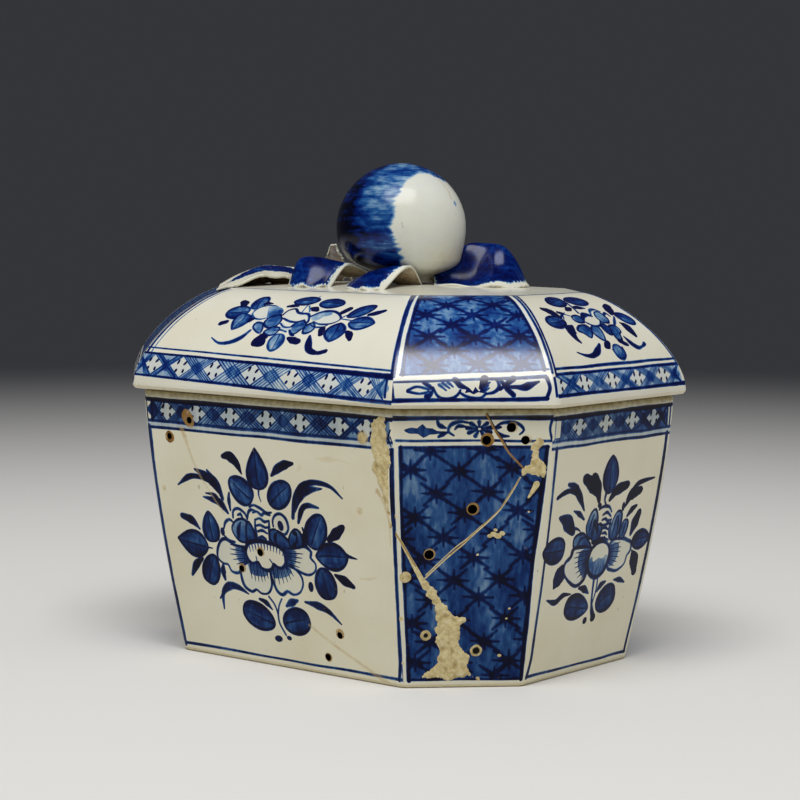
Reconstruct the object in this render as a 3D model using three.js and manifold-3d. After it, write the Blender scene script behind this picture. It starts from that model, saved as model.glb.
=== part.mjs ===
// An octagonal butter tub with a domed cover and a fruit knob, in tin-glazed earthenware.
// Millimetres, +Z up. The origin is the centre of the tub's foot, on the table. +X runs along
// the length. The long front panel faces -Y and the short right panel faces +X.

import * as THREE from 'three';
import { mergeVertices } from 'three/addons/utils/BufferGeometryUtils.js';
import Module from 'manifold-3d';

// Tub: outside sizes at the foot and at the mouth, wall and floor
const TUB_HEIGHT = 66;
const MOUTH_LENGTH = 131;
const MOUTH_WIDTH = 103;
const MOUTH_CUT = 26.2;
const FOOT_LENGTH = 109.6;
const FOOT_WIDTH = 83.2;
const FOOT_CUT = 19.8;
const WALL = 4.5;
const FLOOR = 5.5;
const WALL_BOW = 1.4;
const RIDGE_RADIUS = 2.4;
const FOOT_RIM = 7;
const FOOT_RECESS = 1.2;
const FLOOR_FILLET = 4;
const EDGE_ROUND = 0.9;
const EDGE_STEP = 0.3;

// Cover: how far it stands out past the mouth, its rim, its dome and its flat top
const COVER_OVERHANG = 2.3;
const COVER_RIM = 2.4;
const RIM_SWELL = 0.15;
const COVER_DOME = 22.1;
const COVER_THICKNESS = 3.8;
const DOME_FULLNESS = 1.5;
const PLATEAU_INSET_LENGTH = 22.4;
const PLATEAU_INSET_WIDTH = 23.4;
const PLATEAU_CUT = 16.5;
const PLATEAU_CROWN = 1.3;
const SEAT_GAP = 0.3;

// Flange under the cover, which keeps it from sliding off the tub
const FLANGE_DEPTH = 5;
const FLANGE_THICKNESS = 3.4;
const FLANGE_CLEARANCE = 1.1;
const FLANGE_CHAMFER = 1;

// Fruit knob on its leaning neck
const FRUIT_RADIUS = 16.3;
const FRUIT_CENTRE = 13.7;
const FRUIT_SHOULDER = -29 * Math.PI / 180;
const UNDERSIDE_PULL = 0.4;
const NECK_RADIUS = 4.4;
const NECK_LENGTH = 2.2;
const NECK_FLARE = 1.4;
const FLARE_EDGE = 0.4;
const NECK_LEAN = 6.4;
const LEAN_POWER = 4;

// The plan direction, from +X, of the right hand of someone who looks at the front right corner
const LOOK_ANGLE = 38.9 * Math.PI / 180;

// Sprigged leaves
const LEAF_THICKNESS = 1.4;
const LEAF_WAVE = 0.35;
const LEAF_WAVES = 2.5;
const LEAF_GAP = 0.3;
const LEAF_FRUIT_GAP = 0.8;

// Old repairs: rivet holes, plugs and fills in the tub's wall
const HOLE_RADIUS = 1.15;
const HOLE_DEPTH = 2.6;
const PLUG_RADIUS = 1.35;
const PLUG_PROUD = 0.15;
const FILL_DEPTH = 1.5;
const FILL_PROUD = 0.2;
const REPAIR_GAP = 0.3;

// Facet counts
const WALL_STEPS = 8;
const DOME_STEPS = 14;
const FILLET_SHARES = [0, 0.35, 0.7];
const CROWN_SHARES = [0.35, 0.7, 0.97];
const HOLLOW_START = 4;
const FRUIT_SIDES = 30;
const FRUIT_STEPS = 20;
const HOLE_SIDES = 10;
const FLARE_STEPS = 6;
const UNDERSIDE_STEPS = 8;
const LEAF_STEPS = 14;
const LEAF_ROWS = 8;

// How far a cutting tool runs past the face that it cuts, and the reach of the tools for fills
const OVERCUT = 1;
const FILL_TOOL = 15;
const MITRE_LIMIT = 0.5;

const COVER_SEAT = TUB_HEIGHT + SEAT_GAP;
const PLATEAU_HEIGHT = COVER_SEAT + COVER_RIM + COVER_DOME;
const CUT_SHRINK = 2 - Math.SQRT2;

const wasm = await Module();
wasm.setup();

// Solids

function toManifold(geometry) {
  const bare = geometry.clone();
  bare.deleteAttribute('normal');
  bare.deleteAttribute('uv');
  const merged = mergeVertices(bare, 1e-4);
  return new wasm.Manifold(new wasm.Mesh({
    numProp: 3,
    vertProperties: Float32Array.from(merged.attributes.position.array),
    triVerts: Uint32Array.from(merged.index.array),
  }));
}

function toGeometry(manifold) {
  const mesh = manifold.getMesh();
  const geometry = new THREE.BufferGeometry();
  geometry.setAttribute('position', new THREE.BufferAttribute(mesh.vertProperties, 3));
  geometry.setIndex(new THREE.BufferAttribute(mesh.triVerts, 1));
  geometry.computeVertexNormals();
  return geometry;
}

function gridGeometry(points, index) {
  const geometry = new THREE.BufferGeometry();
  geometry.setAttribute('position', new THREE.Float32BufferAttribute(points.flatMap(p => p.toArray()), 3));
  geometry.setIndex(index);
  return geometry;
}

// A closed solid through rings of points, from the lowest ring to the highest
function loft(rings) {
  const sides = rings[0].length;
  const centre = ring => ring.reduce((sum, p) => sum.add(p), new THREE.Vector3()).divideScalar(sides);
  const points = [...rings.flat(), centre(rings[0]), centre(rings.at(-1))];
  const low = rings.length * sides;
  const index = [];
  for (let j = 0; j < sides; j++) {
    const next = (j + 1) % sides;
    for (let i = 0; i + 1 < rings.length; i++) {
      const a = i * sides + j;
      const b = i * sides + next;
      index.push(a, b, b + sides, a, b + sides, a + sides);
    }
    const top = low - sides;
    index.push(low, next, j, low + 1, top + j, top + next);
  }
  return toManifold(gridGeometry(points, index));
}

// Octagons

const mix = (from, to, share) => from + (to - from) * share;

function mixOctagon(from, to, share) {
  return { a: mix(from.a, to.a, share), b: mix(from.b, to.b, share), cut: mix(from.cut, to.cut, share) };
}

function insetOctagon({ a, b, cut }, inset) {
  return { a: a - inset, b: b - inset, cut: cut - inset * CUT_SHRINK };
}

function octagonCorners({ a, b, cut }) {
  return [
    [a, -(b - cut)], [a, b - cut], [a - cut, b], [-(a - cut), b],
    [-a, b - cut], [-a, -(b - cut)], [-(a - cut), -b], [a - cut, -b],
  ].map(([x, y]) => new THREE.Vector2(x, y));
}

// The octagon as a ring at one height, with each ridge rounded by three points
function octagonRing(octagon, z) {
  const corners = octagonCorners(octagon);
  return corners.flatMap((corner, i) => {
    const before = corners[(i + 7) % 8].clone().sub(corner);
    const after = corners[(i + 1) % 8].clone().sub(corner);
    const reach = Math.min(RIDGE_RADIUS * Math.tan(Math.PI / 8), before.length() / 3, after.length() / 3);
    const start = corner.clone().addScaledVector(before.normalize(), reach);
    const end = corner.clone().addScaledVector(after.normalize(), reach);
    const crest = start.clone().add(end).multiplyScalar(0.25).addScaledVector(corner, 0.5);
    return [start, crest, end].map(p => new THREE.Vector3(p.x, p.y, z));
  });
}

const FOOT = { a: FOOT_LENGTH / 2, b: FOOT_WIDTH / 2, cut: FOOT_CUT };
const MOUTH = { a: MOUTH_LENGTH / 2, b: MOUTH_WIDTH / 2, cut: MOUTH_CUT };
const COVER_EDGE = {
  a: MOUTH.a + COVER_OVERHANG,
  b: MOUTH.b + COVER_OVERHANG,
  cut: MOUTH.cut + COVER_OVERHANG * CUT_SHRINK / 2,
};
const PLATEAU = {
  a: COVER_EDGE.a - PLATEAU_INSET_LENGTH,
  b: COVER_EDGE.b - PLATEAU_INSET_WIDTH,
  cut: PLATEAU_CUT,
};

// The outside of the tub's wall at a height: it swells a little between foot and mouth
function wallOctagon(z) {
  const height = Math.min(Math.max(z / TUB_HEIGHT, 0), 1);
  return mixOctagon(FOOT, MOUTH, 1 - (1 - height) ** WALL_BOW);
}

// Tub

function wallHeights(from, to) {
  return Array.from({ length: WALL_STEPS + 1 }, (_, i) => mix(from, to, i / WALL_STEPS));
}

// The tub's outside skin, moved out by grow
function tubOutside(grow) {
  const skin = (z, inset) => octagonRing(insetOctagon(wallOctagon(z), inset - grow), z);
  return loft([
    skin(0, EDGE_ROUND),
    skin(EDGE_ROUND * EDGE_STEP, EDGE_ROUND * EDGE_STEP),
    ...wallHeights(EDGE_ROUND, TUB_HEIGHT - EDGE_ROUND).map(z => skin(z, 0)),
    skin(TUB_HEIGHT - EDGE_ROUND * EDGE_STEP, EDGE_ROUND * EDGE_STEP),
    skin(TUB_HEIGHT, EDGE_ROUND),
  ]);
}

function tubInside() {
  const skin = (z, inset) => octagonRing(insetOctagon(wallOctagon(z), inset), z);
  const fillet = share => skin(
    FLOOR + FLOOR_FILLET * (1 - Math.cos(share * Math.PI / 2)),
    WALL + FLOOR_FILLET * (1 - Math.sin(share * Math.PI / 2)),
  );
  return loft([
    ...FILLET_SHARES.map(fillet),
    ...wallHeights(FLOOR + FLOOR_FILLET, TUB_HEIGHT - EDGE_ROUND).map(z => skin(z, WALL)),
    skin(TUB_HEIGHT - EDGE_ROUND * EDGE_STEP, WALL - EDGE_ROUND * EDGE_STEP),
    skin(TUB_HEIGHT, WALL - EDGE_ROUND),
    octagonRing(insetOctagon(MOUTH, WALL - EDGE_ROUND), TUB_HEIGHT + OVERCUT),
  ]);
}

function footRecess() {
  const ring = (z, inset) => octagonRing(insetOctagon(FOOT, inset), z);
  return loft([ring(-OVERCUT, FOOT_RIM), ring(0, FOOT_RIM), ring(FOOT_RECESS, FOOT_RIM + FOOT_RECESS)]);
}

// Places on the wall: a panel's middle line, the way along it and half its width

const PANELS = {
  front: {
    middle: ({ b }) => new THREE.Vector2(0, -b),
    along: new THREE.Vector2(1, 0),
    half: ({ a, cut }) => a - cut,
  },
  chamfer: {
    middle: ({ a, b, cut }) => new THREE.Vector2(a - cut / 2, -(b - cut / 2)),
    along: new THREE.Vector2(1, 1).normalize(),
    half: ({ cut }) => cut / Math.SQRT2,
  },
};

// A place on a panel: its share of the way from the middle line to the ridge, and up the wall
function onWall(panel, [across, up]) {
  const { middle, along, half } = PANELS[panel];
  const octagon = wallOctagon(up * TUB_HEIGHT);
  const plan = middle(octagon).addScaledVector(along, across * half(octagon));
  return new THREE.Vector3(plan.x, plan.y, up * TUB_HEIGHT);
}

function wallNormal(panel, [across, up]) {
  const step = 0.01;
  const beside = onWall(panel, [across + step, up]).sub(onWall(panel, [across, up]));
  const above = onWall(panel, [across, up + step]).sub(onWall(panel, [across, up - step]));
  return beside.cross(above).normalize();
}

// A round bar square to the wall, from depth inside the skin to proud outside it
function wallBar(panel, place, radius, depth, proud) {
  const normal = wallNormal(panel, place);
  const bar = new THREE.CylinderGeometry(radius, radius, depth + proud, HOLE_SIDES);
  bar.applyQuaternion(new THREE.Quaternion().setFromUnitVectors(new THREE.Vector3(0, 1, 0), normal));
  const middle = onWall(panel, place).addScaledVector(normal, (proud - depth) / 2);
  bar.translate(middle.x, middle.y, middle.z);
  return toManifold(bar);
}

// A level prism square to a panel in plan, through an outline of places on it
function wallPrism(panel, outline, grow) {
  const { along } = PANELS[panel];
  const x = new THREE.Vector3(along.x, along.y, 0);
  const y = new THREE.Vector3(0, 0, 1);
  const z = x.clone().cross(y);
  const places = outline.map(place => onWall(panel, place));
  const shape = new THREE.Shape(grownOutline(places.map(p => new THREE.Vector2(p.dot(x), p.z)), grow));
  const prism = new THREE.ExtrudeGeometry(shape, { depth: 2 * FILL_TOOL, bevelEnabled: false });
  prism.translate(0, 0, places[0].dot(z) - FILL_TOOL);
  prism.applyMatrix4(new THREE.Matrix4().makeBasis(x, y, z));
  return toManifold(prism);
}

// The outline moved out by grow, with mitred corners
function grownOutline(points, grow) {
  return points.map((point, i) => {
    const before = point.clone().sub(points.at(i - 1)).normalize();
    const after = points[(i + 1) % points.length].clone().sub(point).normalize();
    const along = before.add(after).normalize();
    const reach = grow / Math.max(along.dot(after), MITRE_LIMIT);
    return point.clone().add(new THREE.Vector2(along.y, -along.x).multiplyScalar(reach));
  });
}

// Repairs, by their places on a panel
const OPEN_HOLES = {
  front: [[-0.83, 0.827], [-0.64, 0.903], [-0.134, 0.429], [-0.31, 0.358], [0.49, 0.159], [0.37, 0.07]],
  chamfer: [[0.477, 0.936], [0.169, 0.891], [0.655, 0.891], [0.023, 0.648], [-0.543, 0.488]],
};
const PLUGGED_HOLES = {
  plug_front_top: ['front', [0.762, 0.891]],
  plug_chamfer_left: ['chamfer', [-0.86, 0.409]],
  plug_chamfer_low: ['chamfer', [-0.613, 0.194]],
  plug_chamfer_right: ['chamfer', [0.188, 0.139]],
};
const FILLS = {
  fill_front_ridge: ['front', [
    [0.851, 0.97], [0.845, 0.871], [0.829, 0.795], [0.884, 0.75], [0.928, 0.659], [0.954, 0.659],
    [0.94, 0.758], [0.958, 0.864], [0.958, 0.97],
  ]],
  fill_chamfer_top: ['chamfer', [
    [0.614, 0.764], [0.86, 0.758], [0.904, 0.795], [0.852, 0.888], [0.744, 0.873], [0.72, 0.803],
  ]],
  fill_chamfer_foot: ['chamfer', [
    [-0.476, 0.045], [0, 0.039], [0.014, 0.121], [-0.08, 0.174], [-0.064, 0.255], [-0.192, 0.267],
    [-0.41, 0.311], [-0.591, 0.388], [-0.629, 0.382], [-0.484, 0.288], [-0.445, 0.212], [-0.434, 0.121],
  ]],
};

function fillSolid(panel, outline) {
  return wallPrism(panel, outline, 0)
    .intersect(tubOutside(FILL_PROUD))
    .subtract(tubOutside(-FILL_DEPTH));
}

function fillPocket(panel, outline) {
  return wallPrism(panel, outline, REPAIR_GAP).subtract(tubOutside(-FILL_DEPTH - REPAIR_GAP));
}

function tubSolid() {
  let tub = tubOutside(0).subtract(tubInside()).subtract(footRecess());
  for (const [panel, holes] of Object.entries(OPEN_HOLES)) {
    for (const place of holes) {
      tub = tub.subtract(wallBar(panel, place, HOLE_RADIUS, HOLE_DEPTH, OVERCUT));
    }
  }
  for (const [panel, place] of Object.values(PLUGGED_HOLES)) {
    tub = tub.subtract(wallBar(panel, place, PLUG_RADIUS + REPAIR_GAP, HOLE_DEPTH + REPAIR_GAP, OVERCUT));
  }
  for (const [panel, outline] of Object.values(FILLS)) {
    tub = tub.subtract(fillPocket(panel, outline));
  }
  return tub;
}

// Cover

// Height above the rim as the dome's outline draws in from the rim, 0, to the plateau, 1
const domeRise = share => (1 - (1 - share) ** DOME_FULLNESS) ** (1 / DOME_FULLNESS);

// The dome's skin as rings, grown outwards by grow, and up by the same
function domeRings(grow) {
  const rings = [];
  for (let i = 0; i <= DOME_STEPS; i++) {
    const share = 1 - Math.cos((i / DOME_STEPS) * Math.PI / 2);
    const octagon = insetOctagon(mixOctagon(COVER_EDGE, PLATEAU, share), -grow * (1 - share));
    const z = COVER_SEAT + COVER_RIM + (COVER_DOME + grow) * domeRise(share);
    rings.push(octagonRing(octagon, z));
  }
  for (const share of CROWN_SHARES) {
    const rise = PLATEAU_CROWN * Math.sin(share * Math.PI / 2);
    rings.push(octagonRing(mixOctagon(PLATEAU, { a: 0, b: 0, cut: 0 }, share), PLATEAU_HEIGHT + grow + rise));
  }
  return rings;
}

function coverOutside(grow) {
  const rim = (z, inset) => octagonRing(insetOctagon(COVER_EDGE, inset - grow), z);
  return loft([
    rim(COVER_SEAT, EDGE_ROUND),
    rim(COVER_SEAT + EDGE_ROUND * EDGE_STEP, EDGE_ROUND * EDGE_STEP),
    rim(COVER_SEAT + EDGE_ROUND, -RIM_SWELL),
    rim(COVER_SEAT + COVER_RIM - EDGE_ROUND, -RIM_SWELL),
    ...domeRings(grow),
  ]);
}

function coverSolid() {
  const mouth = insetOctagon(MOUTH, WALL + FLANGE_CLEARANCE + FLANGE_THICKNESS);
  const hollow = loft([
    octagonRing(mouth, COVER_SEAT - OVERCUT),
    octagonRing(mouth, COVER_SEAT + OVERCUT),
    ...domeRings(-COVER_THICKNESS).slice(HOLLOW_START),
  ]);
  return coverOutside(0).subtract(hollow);
}

function flangeSolid() {
  const outside = insetOctagon(MOUTH, WALL + FLANGE_CLEARANCE);
  const inside = insetOctagon(outside, FLANGE_THICKNESS);
  const low = COVER_SEAT - FLANGE_DEPTH;
  const ring = (octagon, z, inset) => octagonRing(insetOctagon(octagon, inset), z);
  const body = loft([
    ring(outside, low, FLANGE_CHAMFER),
    ring(outside, low + FLANGE_CHAMFER, 0),
    ring(outside, COVER_SEAT, 0),
  ]);
  const bore = loft([
    ring(inside, low - OVERCUT, -FLANGE_CHAMFER / 2),
    ring(inside, low, -FLANGE_CHAMFER / 2),
    ring(inside, low + FLANGE_CHAMFER, 0),
    ring(inside, COVER_SEAT + OVERCUT, 0),
  ]);
  return body.subtract(bore);
}

// Fruit: a ball with a flattened underside on a neck, which leans over as it goes down

function fruitProfile() {
  const base = SEAT_GAP - FRUIT_CENTRE;
  const polar = angle => new THREE.Vector2(Math.cos(angle), Math.sin(angle)).multiplyScalar(FRUIT_RADIUS);
  const shoulder = polar(FRUIT_SHOULDER);
  const along = new THREE.Vector2(Math.sin(FRUIT_SHOULDER), -Math.cos(FRUIT_SHOULDER));
  const underside = new THREE.CubicBezierCurve(
    new THREE.Vector2(NECK_RADIUS, NECK_LENGTH - FRUIT_CENTRE),
    new THREE.Vector2(NECK_RADIUS, NECK_LENGTH * 2 - FRUIT_CENTRE),
    shoulder.clone().addScaledVector(along, FRUIT_RADIUS * UNDERSIDE_PULL),
    shoulder,
  );
  const flare = new THREE.QuadraticBezierCurve(
    new THREE.Vector2(NECK_RADIUS + NECK_FLARE, base),
    new THREE.Vector2(NECK_RADIUS, base + FLARE_EDGE),
    new THREE.Vector2(NECK_RADIUS, NECK_LENGTH - FRUIT_CENTRE),
  );
  const points = [
    new THREE.Vector2(0, base),
    ...flare.getPoints(FLARE_STEPS).slice(0, -1),
    ...underside.getPoints(UNDERSIDE_STEPS),
  ];
  for (let i = 1; i < FRUIT_STEPS; i++) {
    points.push(polar(mix(FRUIT_SHOULDER, Math.PI / 2, i / FRUIT_STEPS)));
  }
  return [...points, new THREE.Vector2(0, FRUIT_RADIUS)];
}

function fruitSolid(grow) {
  const profile = grownOutline(fruitProfile(), grow).map(({ x, y }) => new THREE.Vector2(Math.max(x, 0), y));
  profile[0].x = 0;
  profile.at(-1).x = 0;
  const geometry = new THREE.LatheGeometry(profile, FRUIT_SIDES);
  geometry.rotateX(Math.PI / 2);
  const leanWay = new THREE.Vector2(1, 0).rotateAround(new THREE.Vector2(), LOOK_ANGLE);
  const position = geometry.attributes.position;
  for (let i = 0; i < position.count; i++) {
    const below = -position.getZ(i) / (FRUIT_CENTRE - SEAT_GAP);
    const lean = NECK_LEAN * Math.min(Math.max(below, 0), 1) ** LEAN_POWER;
    position.setX(i, position.getX(i) + leanWay.x * lean);
    position.setY(i, position.getY(i) + leanWay.y * lean);
  }
  geometry.translate(0, 0, PLATEAU_HEIGHT + PLATEAU_CROWN + FRUIT_CENTRE);
  return toManifold(geometry);
}

// Leaves: a sheet over three curves, its near edge, its ridge and its far edge. Places are in
// fruit radii from the middle of the plateau: to the left of someone who looks at the front
// right corner, towards them, and up.
function fromPlateau([left, near, up]) {
  return new THREE.Vector3(
    -left * Math.cos(LOOK_ANGLE) + near * Math.sin(LOOK_ANGLE),
    -left * Math.sin(LOOK_ANGLE) - near * Math.cos(LOOK_ANGLE),
    up,
  ).multiplyScalar(FRUIT_RADIUS).add(new THREE.Vector3(0, 0, PLATEAU_HEIGHT));
}

const LEAVES = {
  leaf_left: [
    [[1.6, -0.15, 0.12], [1.85, -0.1, 0.24], [2.1, -0.05, 0.26], [2.45, 0, 0.14], [2.76, 0.02, 0.03]],
    [[1.6, -0.4, 0.2], [1.85, -0.35, 0.24], [2.1, -0.32, 0.25], [2.45, -0.25, 0.17], [2.74, -0.12, 0.05]],
    [[1.6, -0.65, 0.3], [1.85, -0.65, 0.33], [2.1, -0.6, 0.36], [2.45, -0.5, 0.27], [2.72, -0.28, 0.07]],
  ],
  leaf_left_front: [
    [[1.08, 0.75, 0.03], [1.25, 0.8, 0.05], [1.45, 0.74, 0.05], [1.62, 0.6, 0.04], [1.72, 0.42, 0.03]],
    [[0.79, 0.4, 0.36], [1, 0.4, 0.41], [1.3, 0.35, 0.46], [1.58, 0.3, 0.42], [1.73, 0.3, 0.1]],
    [[0.4, 0.15, 0.2], [0.8, -0.05, 0.22], [1.2, -0.12, 0.22], [1.55, -0.02, 0.14], [1.72, 0.16, 0.04]],
  ],
  leaf_front: [
    [[0.3, 1.35, 0.03], [0.45, 1.3, 0.04], [0.62, 1.2, 0.04], [0.8, 1, 0.03]],
    [[-0.12, 1, 0.31], [0.2, 0.97, 0.29], [0.52, 0.9, 0.22], [0.8, 0.8, 0.08]],
    [[-0.33, 0.5, 0.05], [0.05, 0.5, 0.12], [0.42, 0.5, 0.12], [0.76, 0.62, 0.04]],
  ],
  leaf_right: [
    [[-0.55, 0.45, 0.03], [-0.85, 0.5, 0.03], [-1.15, 0.52, 0.03], [-1.45, 0.5, 0.03], [-1.72, 0.42, 0.03],
      [-1.93, 0.24, 0.03]],
    [[-0.5, 0.24, 0.12], [-0.85, 0.18, 0.33], [-1.2, 0.14, 0.62], [-1.45, 0.14, 0.53], [-1.66, 0.14, 0.52],
      [-1.93, 0.12, 0.06]],
    [[-0.5, 0, 0.08], [-0.85, -0.2, 0.1], [-1.2, -0.3, 0.2], [-1.45, -0.3, 0.2], [-1.7, -0.2, 0.15],
      [-1.93, 0, 0.03]],
  ],
  leaf_back: [
    [[0.75, -0.75, 0.1], [0.85, -0.8, 0.3], [0.95, -0.8, 0.5], [1.02, -0.78, 0.64]],
    [[0.85, -0.95, 0.15], [0.98, -1, 0.33], [1.08, -1, 0.5], [1.1, -0.9, 0.64]],
    [[0.95, -1.15, 0.05], [1.1, -1.15, 0.15], [1.2, -1.1, 0.3], [1.17, -1.02, 0.5]],
  ],
};

function leafSolid(curves) {
  const edges = curves.map(points => new THREE.CatmullRomCurve3(points.map(fromPlateau)));
  const along = edges[1].getPoint(1).sub(edges[1].getPoint(0));
  const across = edges[2].getPoint(0.5).sub(edges[0].getPoint(0.5));
  if (along.cross(across).z < 0) edges.reverse();
  const sheet = [];
  for (let i = 0; i <= LEAF_STEPS; i++) {
    const share = i / LEAF_STEPS;
    const section = new THREE.CatmullRomCurve3(edges.map(edge => edge.getPoint(share)));
    for (let j = 0; j <= LEAF_ROWS; j++) {
      const across = (j / LEAF_ROWS) * 2 - 1;
      const wave = LEAF_WAVE * across ** 2 * Math.sin(share * LEAF_WAVES * 2 * Math.PI + across);
      sheet.push(section.getPoint(j / LEAF_ROWS).add(new THREE.Vector3(0, 0, wave)));
    }
  }
  return thickened(sheet, LEAF_ROWS + 1, LEAF_THICKNESS);
}

// A sheet of rows of points, made solid on the side away from its normals
function thickened(sheet, row, thickness) {
  const rows = sheet.length / row;
  const at = (i, j) => sheet[Math.min(Math.max(i, 0), rows - 1) * row + Math.min(Math.max(j, 0), row - 1)];
  const below = sheet.map((point, k) => {
    const [i, j] = [Math.floor(k / row), k % row];
    const along = at(i + 1, j).clone().sub(at(i - 1, j));
    const across = at(i, j + 1).clone().sub(at(i, j - 1));
    return point.clone().addScaledVector(along.cross(across).normalize(), -thickness);
  });
  const index = [];
  const quad = (a, b, c, d) => index.push(a, b, c, a, c, d);
  for (let i = 0; i + 1 < rows; i++) {
    for (let j = 0; j + 1 < row; j++) {
      const a = i * row + j;
      quad(a, a + row, a + row + 1, a + 1);
      quad(a + sheet.length, a + 1 + sheet.length, a + row + 1 + sheet.length, a + row + sheet.length);
    }
  }
  const edge = (a, b) => quad(a, b, b + sheet.length, a + sheet.length);
  for (let i = 0; i + 1 < rows; i++) {
    edge((i + 1) * row, i * row);
    edge(i * row + row - 1, (i + 1) * row + row - 1);
  }
  for (let j = 0; j + 1 < row; j++) {
    edge(j, j + 1);
    edge((rows - 1) * row + j + 1, (rows - 1) * row + j);
  }
  return toManifold(gridGeometry([...sheet, ...below], index));
}

// A leaf is laid on the cover against the fruit, and trimmed clear of both
function laidLeaf(curves) {
  const trimmed = leafSolid(curves)
    .subtract(coverOutside(LEAF_GAP))
    .subtract(fruitSolid(LEAF_FRUIT_GAP));
  return trimmed.decompose().reduce((most, piece) => (piece.volume() > most.volume() ? piece : most));
}

// Materials and the assembly

const GLAZE = { color: 0xd9d6c8, roughness: 0.22, metalness: 0 };
const COBALT = { color: 0x24427f, roughness: 0.2, metalness: 0 };
const PLASTER = { color: 0xcdb983, roughness: 0.8, metalness: 0 };

const tubBody = new THREE.Group();
const coverBody = new THREE.Group();

function add(group, name, solid, look) {
  const mesh = new THREE.Mesh(toGeometry(solid), new THREE.MeshStandardMaterial(look));
  mesh.name = name;
  group.add(mesh);
}

add(tubBody, 'tub', tubSolid(), GLAZE);
for (const [name, [panel, outline]] of Object.entries(FILLS)) {
  add(tubBody, name, fillSolid(panel, outline), PLASTER);
}
for (const [name, [panel, place]] of Object.entries(PLUGGED_HOLES)) {
  add(tubBody, name, wallBar(panel, place, PLUG_RADIUS, HOLE_DEPTH, PLUG_PROUD), PLASTER);
}
add(coverBody, 'cover', coverSolid(), GLAZE);
add(coverBody, 'cover_flange', flangeSolid(), GLAZE);
add(coverBody, 'fruit_knob', fruitSolid(0), GLAZE);
for (const [name, curves] of Object.entries(LEAVES)) {
  add(coverBody, name, laidLeaf(curves), COBALT);
}

const butterTub = new THREE.Group();
butterTub.add(tubBody, coverBody);

export default butterTub;
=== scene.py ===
import math

import bpy
import numpy as np
from mathutils import Matrix, Vector, noise
from mathutils.geometry import delaunay_2d_cdt


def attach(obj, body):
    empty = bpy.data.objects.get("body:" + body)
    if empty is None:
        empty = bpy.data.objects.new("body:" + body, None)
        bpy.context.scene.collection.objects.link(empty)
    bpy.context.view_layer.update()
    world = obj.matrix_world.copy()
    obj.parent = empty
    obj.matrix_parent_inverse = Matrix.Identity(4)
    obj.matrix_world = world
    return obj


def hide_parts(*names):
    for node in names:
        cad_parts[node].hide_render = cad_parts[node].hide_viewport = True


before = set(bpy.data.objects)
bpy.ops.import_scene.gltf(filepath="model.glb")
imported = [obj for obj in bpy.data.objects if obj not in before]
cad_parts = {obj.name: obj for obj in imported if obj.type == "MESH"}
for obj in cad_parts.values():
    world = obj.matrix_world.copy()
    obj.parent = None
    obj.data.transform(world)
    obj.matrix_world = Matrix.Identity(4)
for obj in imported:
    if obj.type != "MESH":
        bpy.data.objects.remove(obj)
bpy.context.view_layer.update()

# Lengths below are in millimetres, and meshes are scaled to metres when they are made.
MM = 0.001


def towards(azimuth, elevation):
    """Unit vector out from the object at these angles in degrees, the azimuth from straight in front"""
    a, e = math.radians(azimuth), math.radians(elevation)
    return Vector((math.sin(a) * math.cos(e), -math.cos(a) * math.cos(e), math.sin(e)))


def placed(name, data):
    """A new object in the scene"""
    made = bpy.data.objects.new(name, data)
    bpy.context.scene.collection.objects.link(made)
    return made


# Camera: its angles in degrees, its places in metres

AZIMUTH, ELEVATION, ROLL = 38.89, 5.06, math.radians(0.41)
AIM_HEIGHT, DISTANCE, NEAREST, FARTHEST = 0.06243, 0.5834, 0.01, 50
LENS, SENSOR = 103.66, 36
back = towards(AZIMUTH, ELEVATION)
level_right = (-back).cross(Vector((0, 0, 1))).normalized()
level_up = level_right.cross(-back)
right = math.cos(ROLL) * level_right + math.sin(ROLL) * level_up
up = -math.sin(ROLL) * level_right + math.cos(ROLL) * level_up
eye = Vector((0, 0, AIM_HEIGHT)) + back * DISTANCE
camera = placed("camera", bpy.data.cameras.new("camera"))
camera.data.lens, camera.data.sensor_width = LENS, SENSOR
camera.data.clip_start, camera.data.clip_end = NEAREST, FARTHEST
camera.matrix_world = Matrix([[*axis, at] for axis, at in zip(zip(right, up, back), eye)] + [[0, 0, 0, 1]])
bpy.context.scene.camera = camera

# Sizes of the tub and its cover. An octagon is half its length, half its width and its corners' cut.

FOOT, MOUTH = np.array([54.8, 41.6, 19.8]), np.array([65.5, 51.5, 26.2])
TUB_HEIGHT, WALL, FLOOR, FLOOR_FILLET, EDGE_ROUND = 66, 4.5, 5.5, 4, 0.9
FOOT_RIM, FOOT_RECESS = 7, 1.2
WALL_BOW, DOME_BOW = 1.4, 1.5
RIDGE_RADIUS = 2.4
SHRINK = 2 - math.sqrt(2)
OVERHANG, PLATEAU_INSET, PLATEAU_CUT = 2.3, [22.4, 23.4], 16.5
COVER_EDGE = MOUTH + [OVERHANG, OVERHANG, OVERHANG * SHRINK / 2]
PLATEAU = np.array([*(COVER_EDGE[:2] - PLATEAU_INSET), PLATEAU_CUT])
SEAT, COVER_RIM, RIM_SWELL, DOME, CROWN, COVER_WALL = 66.3, 2.4, 0.15, 22.1, 1.3, 3.8
RIM_TOP = SEAT + COVER_RIM
PLATEAU_HEIGHT = RIM_TOP + DOME
FRUIT_RADIUS, FRUIT_CENTRE = 16.3, 13.7
TINY = 1e-9


def unit(v):
    return v / np.maximum(np.linalg.norm(v, axis=-1, keepdims=True), TINY)


def inset(octagon, by):
    return octagon - by * np.array([1, 1, SHRINK])


def wall_octagon(z):
    share = 1 - (1 - np.clip(np.asarray(z, float) / TUB_HEIGHT, 0, 1)) ** WALL_BOW
    return FOOT + (MOUTH - FOOT) * share[..., None]


def dome_octagon(share):
    """share is 0 at the cover's edge and 1 at its flat top"""
    return COVER_EDGE + (PLATEAU - COVER_EDGE) * np.asarray(share)[..., None]


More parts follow.
